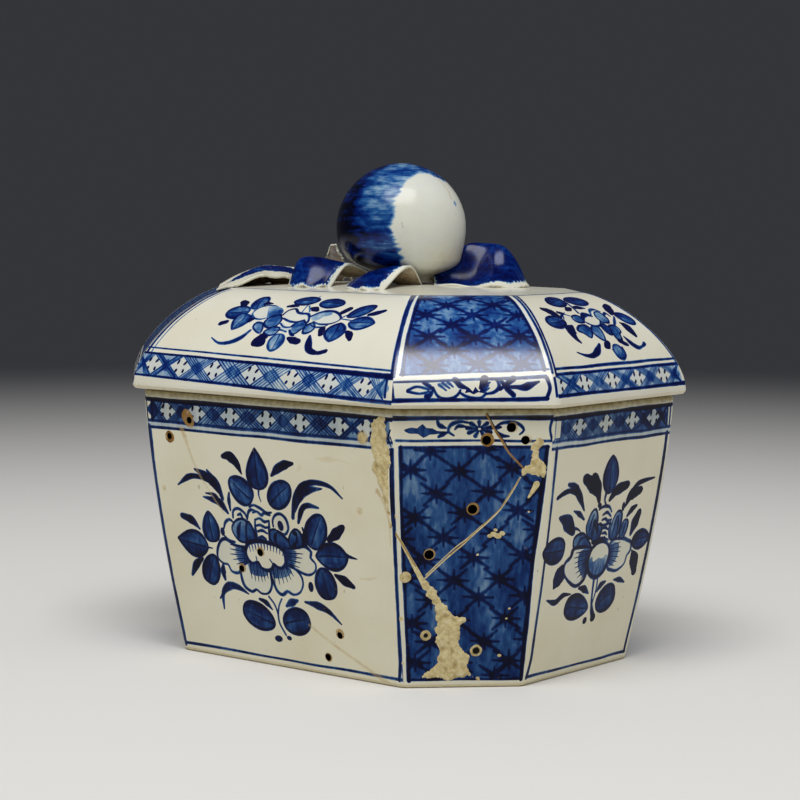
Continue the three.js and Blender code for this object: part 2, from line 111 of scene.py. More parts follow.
def dome_height(share, rise=DOME):
    return RIM_TOP + rise * (1 - (1 - np.clip(share, 0, 1)) ** DOME_BOW) ** (1 / DOME_BOW)


def dome_shares(count):
    return 1 - np.cos(np.linspace(0, math.pi / 2, count))


# Panels: eight sides, each flat across and rounded over to its ridges

FRONT, FRONT_RIGHT, RIGHT, BACK_RIGHT, BACK, BACK_LEFT, LEFT, FRONT_LEFT = range(8)
TURN = math.pi / 8
REACH = RIDGE_RADIUS * math.tan(TURN)
ARC = RIDGE_RADIUS * TURN
OUT = [np.array([math.cos(a), math.sin(a)]) for a in (math.pi / 4 * (k - 2) for k in range(8))]
ALONG = [np.array([-n[1], n[0]]) for n in OUT]


def panel_plan(panel, octagon):
    """How far out the panel lies, the shift of its middle along it, and half its width"""
    a, b, cut = octagon[..., 0], octagon[..., 1], octagon[..., 2]
    if panel in (FRONT, BACK):
        return b, 0 * a, a - cut
    if panel in (LEFT, RIGHT):
        return a, 0 * a, b - cut
    middle = np.stack([(a - cut / 2) * np.sign(OUT[panel][0]), (b - cut / 2) * np.sign(OUT[panel][1])], -1)
    return middle @ OUT[panel], middle @ ALONG[panel], cut / math.sqrt(2)


class Skin:
    """Octagons and heights against v, the way up the skin. A place on a panel is (u, v), u from its middle"""

    def __init__(self, v, octagons, z):
        self.v, self.octagons, self.z = (np.asarray(k, float) for k in (v, octagons, z))

    def octagon(self, v):
        return np.stack([np.interp(v, self.v, self.octagons[:, k]) for k in range(3)], -1)

    def half(self, panel, v):
        return panel_plan(panel, self.octagon(v))[2]

    def crest(self, panel, v):
        return self.half(panel, v) - REACH + ARC

    def points(self, panel, u, v):
        u, v = np.asarray(u, float), np.asarray(v, float)
        out, shift, half = panel_plan(panel, self.octagon(v))
        over = np.maximum(np.abs(u) - (half - REACH), 0) / RIDGE_RADIUS
        across = np.where(over > 0, np.sign(u) * (half - REACH + RIDGE_RADIUS * np.sin(over)), u)
        depth = RIDGE_RADIUS * (1 - np.cos(over))
        flat = (out - depth)[..., None] * OUT[panel] + (shift + across)[..., None] * ALONG[panel]
        return np.concatenate([flat, np.interp(v, self.v, self.z)[..., None]], -1)

    def normals(self, panel, u, v):
        step = 0.05
        v = np.clip(v, self.v[0] + step, self.v[-1] - step)
        across = self.points(panel, u + step, v) - self.points(panel, u - step, v)
        upward = self.points(panel, u, v + step) - self.points(panel, u, v - step)
        return unit(np.cross(across, upward))


def tub_skin():
    z = np.linspace(0, TUB_HEIGHT, 265)
    return Skin(z, wall_octagon(z), z)


def cover_skin(panel):
    """v is the way up the dome on the panel's own middle line, and below 0 down the rim"""
    share = dome_shares(400)
    octagons, z = dome_octagon(share), dome_height(share)
    out = panel_plan(panel, octagons)[0]
    v = np.concatenate([[0], np.cumsum(np.hypot(np.diff(out), np.diff(z)))])
    low = np.array([-COVER_RIM + EDGE_ROUND, -0.7])
    rim = [inset(COVER_EDGE, -RIM_SWELL)] * 2
    return Skin(np.concatenate([low, v]), np.concatenate([rim, octagons]), np.concatenate([RIM_TOP + low, z]))


TUB = tub_skin()
COVER = [cover_skin(k) for k in range(8)]
TUB_ROWS = np.concatenate([[EDGE_ROUND], np.arange(4, 50, 4), np.arange(50, 64, 2),
                           [64, TUB_HEIGHT - EDGE_ROUND]])


def cover_rows(panel):
    """v of the mesh's rows on a panel of the cover"""
    fine = COVER[panel]
    rows, dome = dome_octagon(dome_shares(27)), fine.octagons[2:]
    return np.concatenate([fine.v[:2], np.interp(*(-panel_plan(panel, k)[0] for k in (rows, dome)),
                                                 fine.v[2:])])


# Meshes

class Build:
    """Vertices with their own normals, and faces with paint and a map place at each corner"""

    def __init__(self):
        self.co, self.normals, self.faces, self.paint, self.map = [], [], [], [], []
        self.count = 0

    def add(self, co, normals, faces, paint, place):
        """paint and place hold one row for each face corner, in the faces' order"""
        self.co.append(np.asarray(co, float).reshape(-1, 3))
        self.normals.append(np.asarray(normals, float).reshape(-1, 3))
        self.faces += [[int(i) + self.count for i in f] for f in faces]
        self.paint.append(np.asarray(paint, float).reshape(-1, 4))
        self.map.append(np.asarray(place, float).reshape(-1, 2))
        self.count += len(self.co[-1])

    def object(self, name, material):
        mesh = bpy.data.meshes.new(name)
        mesh.from_pydata((np.concatenate(self.co) * MM).tolist(), [], self.faces)
        mesh.shade_smooth()
        corners = mesh.color_attributes.new("paint", "FLOAT_COLOR", "CORNER")
        corners.data.foreach_set("color", np.concatenate(self.paint).astype(np.float32).ravel())
        layer = mesh.uv_layers.new(name="OFBake")
        layer.uv.foreach_set("vector", np.concatenate(self.map).astype(np.float32).ravel())
        mesh.normals_split_custom_set_from_vertices(np.concatenate(self.normals).tolist())
        mesh.materials.append(material)
        return placed(name, mesh)


def grid_faces(rows, columns, closed=False):
    faces = []
    for i in range(rows - 1):
        for j in range(columns if closed else columns - 1):
            k = (j + 1) % columns
            faces.append([i * columns + j, i * columns + k, (i + 1) * columns + k, (i + 1) * columns + j])
    return faces


def grid_corners(faces, columns):
    """Row and column of each corner of the faces, the last column's far side counted as one more"""
    return [(i + di, j + dj) for i, j in (divmod(f[0], columns) for f in faces)
            for di, dj in ((0, 0), (0, 1), (1, 1), (1, 0))]


# shares of a ridge's rounding at each side of a panel, going round
RING_STEPS = [(-1, 1 - 1 / 3), (-1, 1 - 2 / 3), (-1, 0), (1, 0), (1, 1 / 3), (1, 2 / 3), (1, 1)]


def ring(octagon):
    """Plan points and normals of an octagon with rounded ridges"""
    plans = [panel_plan(panel, np.asarray(octagon, float)) for panel in range(8)]
    radius = min(RIDGE_RADIUS, max(min(half for *_, half in plans), 1e-4) * 0.6 / math.tan(TURN))
    points, normals = [], []
    for panel, (out, shift, half) in enumerate(plans):
        for side, share in RING_STEPS:
            angle = TURN * share
            across = side * (half - radius * math.tan(TURN) + radius * math.sin(angle))
            depth = radius * (1 - math.cos(angle))
            points.append((out - depth) * OUT[panel] + (shift + across) * ALONG[panel])
            normals.append(math.cos(side * angle) * OUT[panel] + math.sin(side * angle) * ALONG[panel])
    return np.array(points), np.array(normals)


def add_rings(build, levels, paint, window):
    """A skin through rings, each (octagon, z). window is its place on the map: (left, low, width, height)."""
    plans = [ring(octagon) for octagon, z in levels]
    columns = len(plans[0][0])
    co = np.array([[[*p, z] for p in plan[0]] for plan, (_, z) in zip(plans, levels)])
    flat = np.array([plan[1] for plan in plans])
    away = (co[..., :2] * flat).sum(-1)
    dz, dd = np.gradient(co[..., 2], axis=0), np.gradient(away, axis=0)
    normals = unit(np.concatenate([flat * dz[..., None], -dd[..., None]], -1))
    faces = grid_faces(len(levels), columns, closed=True)
    length = np.concatenate([[0], np.cumsum(np.hypot(np.diff(co[:, 0, 2]), np.diff(away[:, 0])))])
    length /= length[-1]
    left, low, width, height = window
    place = [(left + width * j / columns, low + height * length[i]) for i, j in grid_corners(faces, columns)]
    build.add(co, normals, faces, [paint] * len(place), place)


# Painting: strokes are outlines on a panel, in (u, v), each with an amount from 0 to 1 of one kind.
# A fill covers what lies below it, and a line only darkens it.

INK, STAIN, FILLER, HOLE = range(4)
SOFT = 1.27
EDGE_FADE = 0.4
LINE_INK = 1.16
DARK = 1
# a line's width wavers by this share, and no half width is thinner than this
WAVER, THINNEST = 0.12, 0.06
# a line is dabbed when it is shorter than this many half widths, and a half width is broader than this
STUBBY, BROAD = 3.2, 0.9


def run_on(p):
    """The points with one more before the first and after the last"""
    return np.concatenate([2 * p[:1] - p[1:2], p, 2 * p[-1:] - p[-2:-1]])


def between(a, b, c, d, t):
    """Places from b to c on the smooth curve through four points"""
    return 0.5 * (2 * b + (c - a) * t + (2 * a - 5 * b + 4 * c - d) * t ** 2
                  + (3 * b - a - 3 * c + d) * t ** 3)


def spline(points, step=0.8, closed=False):
    """Points about a step apart on the smooth curve through points"""
    p = np.asarray(points, float)
    if len(p) == 2 and not closed:
        n = max(2, int(np.linalg.norm(p[1] - p[0]) / step) + 1)
        return p[0] + (p[1] - p[0]) * np.linspace(0, 1, n)[:, None]
    p = np.concatenate([p[-1:], p, p[:2]]) if closed else run_on(p)
    out = []
    for a, b, c, d in zip(p, p[1:], p[2:], p[3:]):
        n = max(2, int(np.linalg.norm(c - b) / step) + 1)
        out.append(between(a, b, c, d, np.linspace(0, 1, n, endpoint=False)[:, None]))
    return np.concatenate(out if closed else out + [p[-2:-1]])


def wobble(x, y, scale=1.0):
    return noise.noise(Vector((x * scale, y * scale, 0.7)))


def wobbles(x, y, scale=1.0):
    """wobble at every place of two arrays"""
    return np.reshape([wobble(a, b, scale) for a, b in zip(np.ravel(x), np.ravel(y))], np.shape(x))


def turned(a, b, x, y, degrees):
    """The place a along and b across a direction, from (x, y)"""
    c, s = math.cos(math.radians(degrees)), math.sin(math.radians(degrees))
    return np.stack([x + a * c - b * s, y + a * s + b * c], -1)


class Art:
    """The strokes on one panel, the first painted first: outline, amount, kind, and if it only darkens"""

    def __init__(self, strokes=()):
        self.strokes = list(strokes)

    def fill(self, outline, ink, kind=INK, darken=False):
        self.strokes.append((np.asarray(outline, float), ink, kind, darken))

    def blob(self, outline, ink, kind=INK, step=0.8):
        self.fill(spline(outline, step, closed=True), ink, kind)

    def disc(self, x, y, r, ink, kind=INK, r2=None, deg=0, sides=16, darken=False):
        t = np.linspace(0, 2 * math.pi, sides, endpoint=False)
        across = (r if r2 is None else r2) * np.sin(t)
        self.fill(turned(r * np.cos(t), across, x, y, deg), ink, kind, darken)

    def line(self, points, widths=0.5, ink=0.75, kind=INK):
        """A brush line through points. widths are its whole widths at even places along it."""
        p = spline(points)
        lengths = np.linalg.norm(np.diff(p, axis=0), axis=1)
        along = np.concatenate([[0], np.cumsum(lengths)])
        along /= max(along[-1], 1e-6)
        widths = np.atleast_1d(np.asarray(widths, float))
        w = np.interp(along, np.linspace(0, 1, len(widths)), widths) / 2
        w = np.maximum(w * (1 + WAVER * wobbles(*p.T, 0.9)), THINNEST)
        t = unit(np.gradient(p, axis=0))
        if kind == INK:
            ink = LINE_INK * ink
        if kind != FILLER:
            w = w * SOFT
        if kind == INK and lengths.sum() < STUBBY * w.max() and w.max() > BROAD:
            self.dab(p, w, ink)
            return
        side = np.stack([-t[:, 1], t[:, 0]], -1) * w[:, None]
        left, right = p + side, p - side
        for i in range(len(p) - 1):
            if kind == FILLER:
                self.fill([right[i], right[i + 1], left[i + 1], left[i]], ink, kind, True)
                continue
            # each half fades towards its edge, and a wide line has a dark middle
            tone = self.fading(p[i], p[i + 1], (w[i] + w[i + 1]) / 2, ink)
            for edge in (right, left):
                bounds = [(p[i], p[i + 1]), (edge[i], edge[i + 1])]
                if min(w[i], w[i + 1]) > 1.5 * EDGE_FADE:
                    bounds.insert(1, [p[k] + (edge[k] - p[k]) * (1 - EDGE_FADE / w[k]) for k in (i, i + 1)])
                for (a, b), (c, d) in zip(bounds, bounds[1:]):
                    self.fill([a, b, d, c], tone, kind, True)
        for k, sign in ((0, -1), (-1, 1)):
            if w[k] > 0.2:
                ahead = sign * t[k] * w[k]
                tip, shoulder = p[k] + ahead * 0.9, p[k] + ahead * 0.6
                tone = ink if kind == FILLER else self.fading(p[k], p[k] + t[k] * 1e-3, w[k], ink)
                self.fill([left[k], shoulder + side[k] * 0.6, tip, shoulder - side[k] * 0.6, right[k]], tone,
                          kind, True)

    def dab(self, p, w, ink):
        """A short wide line as a row of discs"""
        for share in np.linspace(0, len(p) - 1, 7):
            x, y, r = (float(np.interp(share, range(len(p)), q)) for q in (*p.T, w))
            self.disc(x, y, r * 0.95, ink, darken=True, sides=14)

    @staticmethod
    def fading(a, b, w, ink):
        """An amount that falls to 0.4 of ink at the distance w from the line from a to b"""
        d = b - a
        length = max(d @ d, 1e-12)

        def tone(u, v):
            along = np.clip(((u - a[0]) * d[0] + (v - a[1]) * d[1]) / length, 0, 1)
            away = np.hypot(u - a[0] - along * d[0], v - a[1] - along * d[1])
            return ink * (1 - 0.6 * np.clip(1 - (w - away) / (0.8 * min(w, EDGE_FADE)), 0, 1))
        return tone

    def leaf(self, x, y, r, half, deg=0, ink=0.62, point=0.8, base=0.5, turn=0.5):
        """A shaded leaf with its tip towards deg: dark at its edge and on one side, with a vein"""
        s = np.cos(np.linspace(math.pi, 0, 11))
        norm = ((1 - s) ** point * (1 + s) ** base).max()
        c, q = math.cos(math.radians(deg)), math.sin(math.radians(deg))

        def width(a):
            return half * np.maximum(1 - a, 0) ** point * np.maximum(1 + a, 0) ** base / norm

        def place(a, b):
            return turned(r * a, b, x, y, deg)

        def tone(u, v):
            a = ((u - x) * c + (v - y) * q) / r
            b = (-(u - x) * q + (v - y) * c) / np.maximum(width(np.clip(a, -0.98, 0.98)), 0.2)
            e = np.clip(np.abs(b), 0, 1)
            streak = 0.2 * wobbles(a * 0.8, b * 7)
            return ink - 0.06 + 0.2 * e ** 2 + 0.2 * turn * b + 0.1 * np.abs(a) ** 3 + streak

        for scale, wide in ((1, 1), (0.84, 0.72), (0.66, 0.36)):
            w = width(s) * wide * (1 + 0.1 * wobbles(s + x, y + 0 * s, 2.1))
            top, low = place(s * scale, w), place(s * scale, -w)
            self.fill(np.concatenate([low, top[-2:0:-1]]), tone)
        rim = np.concatenate([place(s, -width(s)), place(s, width(s))[-2::-1]])
        self.line(rim, [0.5, 0.8, 0.55, 0.9, 0.5], min(ink + 0.28, 0.96))
        self.line([place(-0.85, 0), place(0, 0.06 * half), place(0.9, 0)], [0.5, 0.4, 0.2], ink + 0.28)

    def lines(self, rows, widths=0.5, ink=0.75):
        for points in rows:
            self.line(points, widths, ink)

    def flipped(self):
        """The same strokes mirrored side to side"""
        def mirrored(ink):
            return (lambda u, v: ink(-u, v)) if callable(ink) else ink

        return Art((outline[::-1] * [-1, 1], mirrored(ink), *rest) for outline, ink, *rest in self.strokes)

    def added(self, *others):
        return Art(self.strokes + [s for o in others for s in o.strokes])


def inside(outline, points):
    """Which points lie inside the outline"""
    x, y = points[:, 0, None], points[:, 1, None]
    (x0, y0), (x1, y1) = outline.T, np.roll(outline, -1, 0).T
    rise = np.where(y1 == y0, 1e-12, y1 - y0)
    crossed = ((y0 > y) != (y1 > y)) & (x < x0 + (y - y0) * (x1 - x0) / rise)
    return crossed.sum(1) % 2 == 1


def add_panel(build, skin, panel, rows, art, corner, scale):
    """The painted panel as a mesh cut along its strokes. corner and scale place it on the map."""
    shares = np.array([0, 1 / 3, 2 / 3, 1])
    flat = skin.half(panel, rows) - REACH
    columns = np.concatenate([-(flat[:, None] + ARC * shares[::-1]), flat[:, None] + ARC * shares], 1)
    verts = [Vector((u, v)) for row, v in zip(columns, rows) for u in row]
    n, m = len(rows), columns.shape[1]
    outline = [*range(m), *(i * m + m - 1 for i in range(1, n)), *range(n * m - 2, (n - 1) * m - 1, -1),
               *(i * m for i in range(n - 2, 0, -1))]
    edges = [(i * m + j, i * m + j + 1) for i in range(n) for j in range(m - 1)]
    edges += [(i * m + j, i * m + m + j) for i in range(n - 1) for j in range(m)]
    faces = [outline]
    for points, *_ in art.strokes:
        start = len(verts)
        verts += [Vector(p) for p in points]
        area = sum(a[0] * b[1] - b[0] * a[1] for a, b in zip(points, np.roll(points, -1, 0)))
        order = range(start, start + len(points))
        faces.append(list(order) if area > 0 else list(order)[::-1])
    out, _, tris, _, _, ids = delaunay_2d_cdt(verts, edges, faces, 1, 1e-4, True)
    uv, tris = np.array([[p.x, p.y] for p in out]), np.array(tris)
    middles = uv[tris].mean(1)
    # the triangles under each stroke
    members = {}
    for i, found in enumerate(ids):
        for k in found:
            members.setdefault(k, []).append(i)
    for k, where in members.items():
        where = np.array(where)
        members[k] = where[inside(np.array([verts[i] for i in faces[k]]), middles[where])]
    p = uv[tris]
    area = np.cross(p[:, 1] - p[:, 0], p[:, 2] - p[:, 0])
    tris = np.where(area[:, None] > 0, tris, tris[:, ::-1])
    keep = np.isin(np.arange(len(tris)), members.pop(0)) & (np.abs(area) > 1e-7)
    paint = np.zeros((len(tris), 3, 4))
    paint[..., 3] = 1
    corners = uv[tris]
    for k in sorted(members):
        at = members[k]
        _, value, kind, darken = art.strokes[k - 1]
        if kind == HOLE:
            keep[at] = False
            continue
        if callable(value):
            value = value(corners[at][..., 0], corners[at][..., 1])
        paint[at, :, kind] = np.maximum(paint[at, :, kind], value) if darken else value
    place = corners[keep] * scale + np.asarray(corner)
    build.add(skin.points(panel, *uv.T), skin.normals(panel, *uv.T), tris[keep].tolist(), paint[keep], place)


def add_hole(build, panel, u, v, radius, place):
    """The wall and the end of a hole drilled in the tub, painted in shade: darker down the wall and dark at
    the end
    """
    depth, sides = 2.6, 24
    t = np.linspace(0, 2 * math.pi, sides, endpoint=False)
    top = TUB.points(panel, u + radius * np.cos(t), v + radius * np.sin(t))
    middle, out = (of(panel, np.array([u]), np.array([v]))[0] for of in (TUB.points, TUB.normals))
    inward = middle - top
    inward = unit(inward - (inward @ out)[:, None] * out)
    low = top - out * depth
    wall = [[j, j + sides, (j + 1) % sides + sides, (j + 1) % sides] for j in range(sides)]
    end = [[j, (j + 1) % sides, sides] for j in range(sides)]
    # the wall is painted lit at its top and in shade lower down
    shades = [[0, 1, 1, lit] for lit in (1, 0, 0, 1)] * sides
    build.add([*top, *low], [*inward, *inward], wall, shades, [place] * (4 * sides))
    build.add([*low, middle - out * depth], [out] * (sides + 1), end, [[0, 1, 1, 0]] * (3 * sides),
              [place] * (3 * sides))


# The painting

DIAMOND = [(-1, 0), (-0.55, 0.5), (-0.12, 0.95), (0.12, 0.95), (0.55, 0.5), (1, 0), (0.55, -0.5),
           (0.12, -0.95), (-0.12, -0.95), (-0.55, -0.5)]
GAP = [(-1.1, 0), (0, 0.62), (1.1, 0), (0, -0.62)]
CROSSINGS = (-0.98, -0.45, 0.05, 0.5, 1)
DOTS = [(-0.85, 0.5, 1.5, 70), (1.1, 0.42, 1.5, 48), (-1, -0.44, 1.15, 50), (0.95, -0.46, 1.15, 78)]


def diaper(art, low, high, motifs, ends, slope=0.0, wash=0.22, half=3.8, dot=0.5, spread=1.2, ink=0.6,
           pale=0.07):
    """A trellis band: white diamonds with four dots each, and crossed lines between them"""
    def at(u, v):
        return (u, v + slope * u)

    middle, tall = (low + high) / 2, (high - low) / 2
    art.fill([at(ends[0], low), at(ends[1], low), at(ends[1], high), at(ends[0], high)], wash)
    around = [2 * motifs[0] - motifs[1], *motifs, 2 * motifs[-1] - motifs[-2]]
    gaps = [((a + b) / 2, (b - a) / 2 - half) for a, b in zip(around, around[1:])]
    for c, reach in gaps:
        art.blob([at(c + u * reach, middle + v * tall) for u, v in GAP], wash + 0.22)
    for m in motifs:
        w = half * (1 + 0.07 * wobble(m, low, 0.8))
        art.blob([at(m + u * w, middle + v * (tall - 0.2)) for u, v in DIAMOND], pale, step=1)
    for c, reach in gaps:
        for share in CROSSINGS:
            for way in (-1, 1):
                shift = share * max(reach, 0.8) + 0.25 * wobble(c, share * way, 2)
                path = [(c + shift + way * s * half, middle + s * tall) for s in (-1, 1)]
                path = [(min(max(u, ends[0]), ends[1]), v) for u, v in path]
                if abs(path[0][0] - path[1][0]) > 2:
                    art.line([at(*p) for p in path], 0.34 + 0.1 * wobble(c, share + way, 1.4),
                             ink + 0.12 * wobble(c, share * way, 1.7))
    for m in motifs:
        for u, v, size, deg in DOTS:
            x, y = at(m + u * spread + 0.2 * wobble(m, v, 3),
                      middle + v * tall * 0.85 + 0.12 * wobble(m, u, 3))
            art.disc(x, y, dot * size, 0.98, r2=dot * 0.8, deg=deg, sides=10)


def along_u(u0, u1, v0, v1=None, sway=0.18):
    """A swaying path along a panel from height v0 to v1"""
    steps = 8
    v1 = v0 if v1 is None else v1
    return [(u, v0 + (v1 - v0) * i / steps + sway * wobble(u, v0, 0.12))
            for i, u in ((i, u0 + (u1 - u0) * i / steps) for i in range(steps + 1))]


def band(u0, u1, low, high):
    return [(u0, low), (u1, low), (u1, high), (u0, high)]


def up_ridge(skin, panel, side, places):
    """A path beside a ridge from (height, distance in from the crest) places"""
    v = np.linspace(places[0][0], places[-1][0], 14)
    d = np.interp(v, [p[0] for p in places], [p[1] for p in places])
    return [(side * (float(skin.crest(panel, x)) - y + 0.12 * wobble(x, panel * 3 + side, 0.12)), x)
            for x, y in zip(v, d)]


STARS = [(-9.8, 56.5), (2.3, 56.8), (-14.1, 52.2), (-3, 51.8), (9.1, 52.5), (-8, 46.5), (3.9, 47),
         (15.6, 47.6), (-12.7, 41.1), (-1.4, 42), (10.9, 42.5), (-16.2, 36.1), (-6.1, 36.3), (5.9, 37),
         (15.6, 37.9), (-10.2, 31.2), (1.1, 31.5), (12.5, 32), (-14.4, 26.8), (-3.2, 26.1), (7.3, 26.3),
         (-8.3, 21.4), (2.7, 22), (13.4, 22.2), (-12.5, 15.9), (-2.6, 16.6), (9.1, 16.8), (-8.2, 11.3),
         (4.5, 11.3), (15.2, 11.6), (-11.4, 6.3), (-1.6, 6.2), (10.5, 6.5), (7.3, 2.9), (-6, 2.6)]


ARMS = ((3.6, -2.5), (-2.8, -2.6), (-3.6, 2.5), (2.8, 2.6))


def star_lattice(art, outline, stars, wash=0.56):
    """Crossed lines over a wash, with a bar and an upright at each crossing"""
    art.fill(outline, wash)
    for x, y in stars:
        for dx, dy in ARMS:
            art.line([(x, y), (x + dx / 2, y + dy / 2), (x + dx, y + dy)], [1.2, 0.95, 0.85], 0.8)
    for x, y in stars:
        k = 1 + 0.25 * wobble(x, y, 0.9)
        art.line([(x - 3.4 * k, y + 0.2), (x, y), (x + 3.5, y - 0.1 * k)], [0.5, 1.25, 0.6], 0.82)
        art.line([(x - 0.1, y + 2.3 * k), (x, y), (x + 0.15, y - 2.2)], [0.45, 1.1, 0.5], 0.82)


def white_petal(art, outline, rays, ink=0.76, width=0.6, shade=None):
    """A white petal in outline, with rays inwards and a pale wash"""
    rays = np.array(rays)
    art.blob(outline, 0.04)
    for start, end in rays:
        art.line([start, 0.4 * start + 0.6 * end], [1.5, 0.7], 0.36)
    if shade:
        art.blob(shade, 0.4)
    art.line([*outline, outline[0]], [width, width * 1.4, width * 0.8, width * 1.3, width], ink)
    art.lines(rays, [0.6, 0.42, 0.14], 0.78)
    for start, end in (rays[1:] + rays[:-1]) / 2:
        art.line([start, start + 0.7 * (end - start)], [0.5, 0.14], 0.7)


def wash_petal(art, outline, light, dark, edge=True):
    """A washed petal, dark towards its first point"""
    p = np.asarray(outline, float)
    origin, reach = p[0], np.linalg.norm(p - p[0], axis=1).max()

    def tone(u, v):
        share = np.clip(np.hypot(u - origin[0], v - origin[1]) / reach, 0, 1)
        return dark - 0.1 + (light - dark - 0.06) * share + 0.14 * wobbles(u, v, 0.9)

    middle = p.mean(0)
    for scale in (1, 0.6):
        art.blob(middle + (p - middle) * scale, tone)
    if edge:
        art.line([*outline, outline[0]], [0.6, 0.45, 0.7, 0.5], min(dark + 0.18, 0.97))


def front_flower():
    art = Art()
    art.line([(-3.2, 44.6), (-3.4, 42.6), (-2.8, 41)], [0.7, 0.45, 0.25], 0.75)
    art.leaf(-3.4, 49, 4.9, 3.2, 92, 0.66, point=1.05, base=0.5)
    art.line([(-8.3, 47.2), (-10, 50), (-12.2, 51.4), (-14.3, 51.2)], [0.3, 1.7, 2.2, 1.0], DARK)
    art.line([(1.2, 47.7), (3.4, 49.6), (6, 50.8), (8.3, 51.2)], [0.6, 2.0, 1.9, 0.7], DARK)
    art.leaf(-9.2, 43.4, 4.1, 2.9, 145, 0.62, base=0.4, point=0.55, turn=-0.6)
    art.leaf(3.3, 43.3, 4.2, 2.9, 38, 0.64, base=0.5, point=0.55)
    # ferns at the left and right
    art.line([(-15.4, 40.6), (-17, 44.2), (-19.9, 47.4)], [0.9, 1.8, 0.5], 0.74)
    art.line([(-16, 42), (-18.3, 44.6), (-21, 46.2), (-24, 47.3)], [1.0, 2.0, 1.7, 0.5], 0.78)
    art.line([(-19, 44.4), (-22, 45.4), (-26, 45.3), (-30.3, 42.8)], [0.7, 1.1, 1.3, 0.3], 0.88)
    art.line([(-14.1, 37.2), (-16.4, 39.6), (-19, 40.2), (-21.9, 40.6)], [0.6, 1.7, 1.3, 0.4], 0.74)
    art.line([(-15.5, 38), (-17.8, 41.2), (-21, 41.6)], [0.5, 1.0, 0.3], 0.8)
    art.line([(-13.2, 38), (-13.4, 40.6), (-13.1, 42.4)], [0.5, 1.1, 0.5], 0.8)
    art.line([(6.9, 38), (8.1, 43), (10.6, 45.9), (14.6, 47.2), (19.4, 46.6), (22.9, 44.1)],
             [0.9, 1.1, 1.5, 1.2, 0.9, 0.4], 0.82)
    art.line([(7.6, 39.6), (9.4, 43.2), (12.6, 45.2), (16.8, 45.9)], [0.7, 1.9, 1.6, 0.4], 0.74)
    art.line([(8.5, 37), (10, 40.4), (12, 41.5), (15.3, 41.2)], [0.7, 1.3, 1.2, 0.5], 0.76)
    # leaves round the left
    art.line([(-24.2, 32.3), (-26.6, 34.3), (-29.9, 35.2)], [0.5, 1.9, 1.2], 0.8)
    art.leaf(-20.5, 33.3, 3.7, 2.5, 95, 0.62, point=0.75, base=0.4)
    art.line([(-20.6, 27.8), (-23, 28), (-26, 28.6)], [0.3, 0.6, 0.9], 0.8)
    art.leaf(-27.1, 28.6, 5, 3.1, 172, 0.66, point=1.05, base=0.75)
    art.line([(-24.4, 24.9), (-26.8, 23.2), (-28.8, 20.2)], [0.7, 2.0, 0.7], 0.82)
    art.leaf(-21.8, 22.5, 3.9, 2.6, 68, 0.64, base=0.4, point=0.6)
    art.line([(-17.6, 24.4), (-18, 22.2), (-17.6, 20.2)], [0.5, 1.6, 0.6], 0.74)
    # leaves round the right
    art.leaf(13.8, 35.4, 4.5, 3, 62, 0.62, base=0.45, point=0.55)
    art.line([(17.4, 33.7), (19.6, 35.2), (22.3, 37.3)], [1.0, 2.5, 1.2], DARK)
    art.line([(21, 31), (23.6, 30.3), (25.8, 30)], [1.3, 0.8, 0.2], 0.8)
    art.leaf(17.9, 29.7, 4.9, 3.1, 4, 0.62, point=0.7, base=0.85)
    art.line([(18.3, 25.4), (20.8, 24.4), (23.8, 23.1)], [0.6, 2.2, 1.0], DARK)
    art.leaf(15.1, 22.9, 3.7, 3, 100, 0.66, base=0.4, point=0.5)
    art.disc(10.3, 21.6, 1.3, 0.9, r2=0.85, deg=85)
    art.line([(9.9, 34.3), (9.6, 32)], [1.0, 0.7], 0.85)
    # sprays and leaves below
    art.line([(-10.2, 17.4), (-13.6, 18.8), (-16.4, 18.8), (-18.9, 16.7), (-19.3, 12.7)],
             [0.3, 1.3, 1.9, 1.0, 0.5], 0.76)
    art.line([(-18.7, 17), (-20.2, 15.2)], [0.8, 0.4], 0.76)
    art.line([(7.8, 17.6), (11.6, 17.2), (15, 16.1), (18.7, 13.3)], [0.5, 1.7, 1.1, 0.3], 0.8)
    art.line([(-3.8, 17.6), (-2.2, 15.8), (-1.5, 13.6), (-1.3, 11.2), (0.3, 8.4)], 0.5, 0.66)
    art.line([(0.4, 17.5), (-0.8, 15.6), (-1.4, 13.4)], 0.45, 0.62)
    art.leaf(-7.8, 12.2, 5.1, 3.1, 163, 0.66, point=0.45, base=0.55, turn=-0.5)
    art.leaf(4.3, 12.3, 4.3, 3.1, 14, 0.68, point=0.45, base=0.5)
    art.line([(-7, 16.6), (-5, 16), (-3, 14.3)], [0.6, 1.3, 0.3], 0.76)
    art.line([(1.6, 15.8), (3.4, 16.9), (5.5, 17.7)], [0.6, 1.8, 0.7], 0.74)
    art.disc(-2.3, 7.2, 1.3, 0.76, r2=0.85, deg=8)
    art.disc(1.2, 7.8, 0.85, 0.8, r2=0.6)
